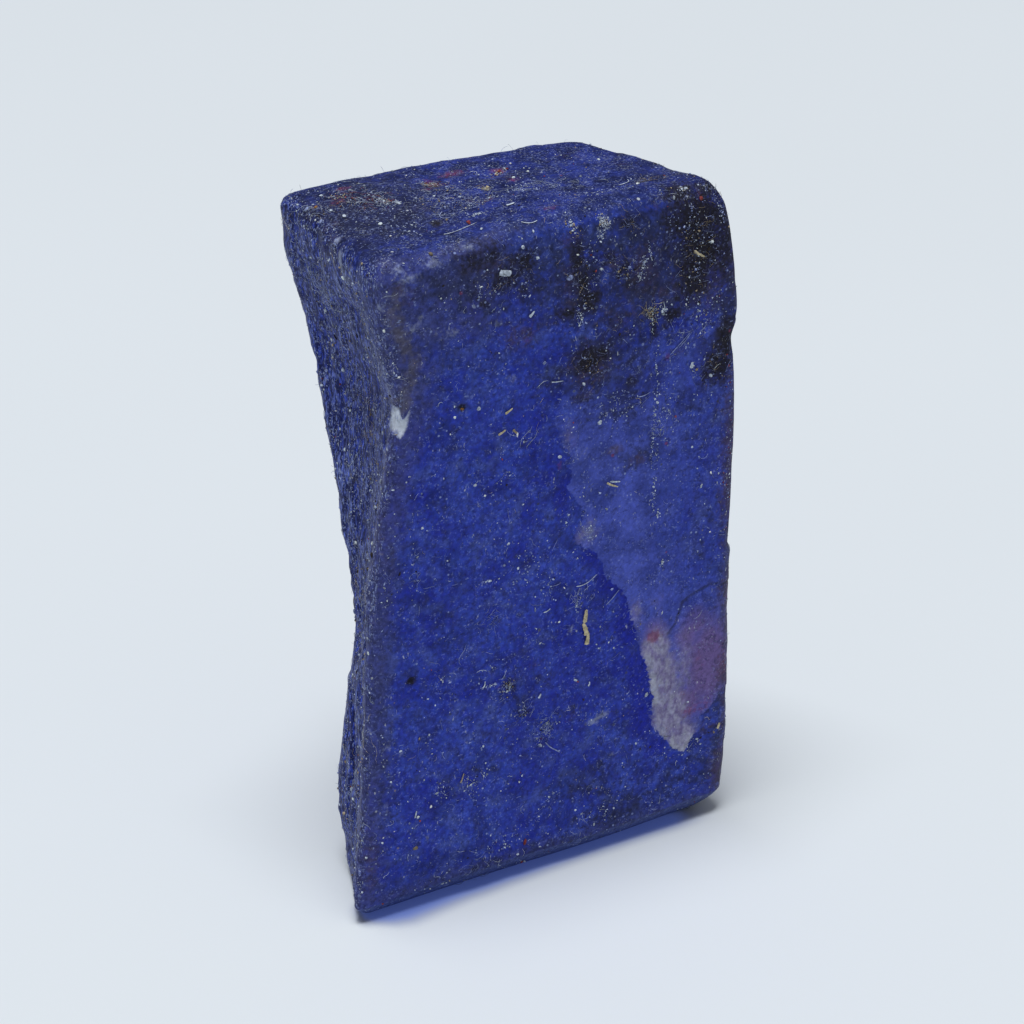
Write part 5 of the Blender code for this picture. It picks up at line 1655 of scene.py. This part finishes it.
class TANZANITE_OT_stage(bpy.types.Operator):
    """Set the stage: a pale floor, even light with a soft overhead box, and the camera."""

    bl_idname = "tanzanite.stage"
    bl_label = "Stage"
    bl_options = {"REGISTER", "UNDO"}

    look_at = Vector((-0.18, -2.155, 24.0)) * MM
    camera_place = Vector((-115.903, -202.971, 147.236)) * MM
    softbox_place = Vector((-0.13, -0.07, 1.2))
    floor_gap = 0.02 * MM
    floor_reach = 6.0
    fine_reach = 0.0235
    fine_lines = 157
    # Painted shadow and glow: how far they reach ahead of the lip, at places along the lip.
    painted_shadow_x_mm = (-12.9, -11.6, -10.5, -6.0, 2.0, 7.0)
    painted_shadow_spread_mm = (0.9, 1.9, 2.2, 1.5, 1.0, 0.9)

    def execute(self, context):
        stage = context.scene.tanzanite_stage
        self.lay_floor(stage)
        self.set_light(context, stage)
        self.set_camera(context, stage)
        context.scene.view_settings.view_transform = "Standard"
        return {"FINISHED"}

    def lay_floor(self, stage):
        """Lay the floor: a flat square grid just under the stone, finest near its foot.

        Each point holds how much painted blue shadow and painted glow it takes: all of it
        under the front lip, fading ahead of the lip over a spread that differs along it.
        """
        far = np.geomspace(0.024, self.floor_reach, 8)
        fine = np.linspace(-self.fine_reach, self.fine_reach, self.fine_lines)
        reach = np.concatenate([-far[::-1], fine, far])
        x, y = np.meshgrid(reach, reach)
        vertices = np.stack([x, y, np.full_like(x, -self.floor_gap)], axis=-1).reshape(-1, 3)
        grid = np.arange(x.size).reshape(x.shape)
        faces = np.stack([grid[:-1, :-1], grid[:-1, 1:], grid[1:, 1:], grid[1:, :-1]],
                         axis=-1).reshape(-1, 4)
        mesh = new_mesh("floor", vertices, [faces])
        lip = current_skin().places[FOOT_RINGS, ::3, :2] / MM
        inside = depth_inside(x / MM, y / MM, lip)
        spread = np.interp(x / MM, self.painted_shadow_x_mm, self.painted_shadow_spread_mm)
        ahead = (ramp(-14.0, -12.5, x / MM) * ramp(13.2, 9.5, x / MM)
                 * ramp(-3.5, -5.2, y / MM))
        add_field(mesh, "lip_shadow_and_glow",
                  (ahead * ramp(-spread, 1.3 - 0.6 * spread, inside)).ravel())
        mesh.materials.append(floor_material(stage))
        floor = bpy.data.objects.new("floor", mesh)
        bpy.context.scene.collection.objects.link(floor)
        floor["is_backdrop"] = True

    def set_light(self, context, stage):
        """Light the stage evenly, with one large soft square above and in front."""
        world = bpy.data.worlds.new("even_light")
        world.use_nodes = True
        sky = world.node_tree.nodes["Background"].inputs
        sky["Color"].default_value = opaque(stage.ambient_colour)
        sky["Strength"].default_value = stage.ambient_strength
        context.scene.world = world
        light = bpy.data.lights.new("softbox", "AREA")
        light.shape = "SQUARE"
        light.size = stage.softbox_width
        light.energy = stage.softbox_power
        light.color = (0.97, 0.985, 1.0)
        softbox = bpy.data.objects.new("softbox", light)
        softbox.location = self.softbox_place
        softbox.rotation_euler = (-self.softbox_place).to_track_quat("-Z", "Y").to_euler()
        context.scene.collection.objects.link(softbox)

    def set_camera(self, context, stage):
        """Set up the camera, level and turned to the stone."""
        camera = bpy.data.cameras.new("camera")
        camera.lens = stage.focal_length
        camera.sensor_width = 36.0
        camera.clip_start = 0.01
        camera.clip_end = 50.0
        holder = bpy.data.objects.new("camera", camera)
        holder.location = self.camera_place
        gaze = self.look_at - self.camera_place
        holder.rotation_euler = gaze.to_track_quat("-Z", "Y").to_euler()
        context.scene.collection.objects.link(holder)
        context.scene.camera = holder


class TANZANITE_PT_panel(bpy.types.Panel):
    """List the stone's operators with their settings."""

    bl_idname = "TANZANITE_PT_panel"
    bl_label = "Rough tanzanite"
    bl_space_type = "VIEW_3D"
    bl_region_type = "UI"
    bl_category = "Tanzanite"

    def draw(self, context):
        scene = context.scene
        for settings, operators in (
                (scene.tanzanite_stone, ("tanzanite.stone",)),
                (scene.tanzanite_dust, ("tanzanite.dust", "tanzanite.lint",
                                        "tanzanite.debris")),
                (scene.tanzanite_stage, ("tanzanite.stage",))):
            box = self.layout.box()
            for name in settings.__annotations__:
                box.prop(settings, name)
            for operator in operators:
                box.operator(operator)


SETTINGS = (("tanzanite_stone", StoneSettings), ("tanzanite_dust", DustSettings),
            ("tanzanite_stage", StageSettings))
OPERATORS = (TANZANITE_OT_stone, TANZANITE_OT_dust, TANZANITE_OT_lint,
             TANZANITE_OT_debris, TANZANITE_OT_stage)


def register():
    """Register the settings, the operators and the panel."""
    for name, settings in SETTINGS:
        bpy.utils.register_class(settings)
        setattr(bpy.types.Scene, name, bpy.props.PointerProperty(type=settings))
    for operator in OPERATORS:
        bpy.utils.register_class(operator)
    bpy.utils.register_class(TANZANITE_PT_panel)


def unregister():
    """Take everything back out."""
    bpy.utils.unregister_class(TANZANITE_PT_panel)
    for operator in reversed(OPERATORS):
        bpy.utils.unregister_class(operator)
    for name, settings in reversed(SETTINGS):
        delattr(bpy.types.Scene, name)
        bpy.utils.unregister_class(settings)


def main():
    """Build everything in order."""
    register()
    bpy.ops.tanzanite.stone()
    bpy.ops.tanzanite.dust()
    bpy.ops.tanzanite.lint()
    bpy.ops.tanzanite.debris()
    bpy.ops.tanzanite.stage()


if __name__ == "__main__":
    main()
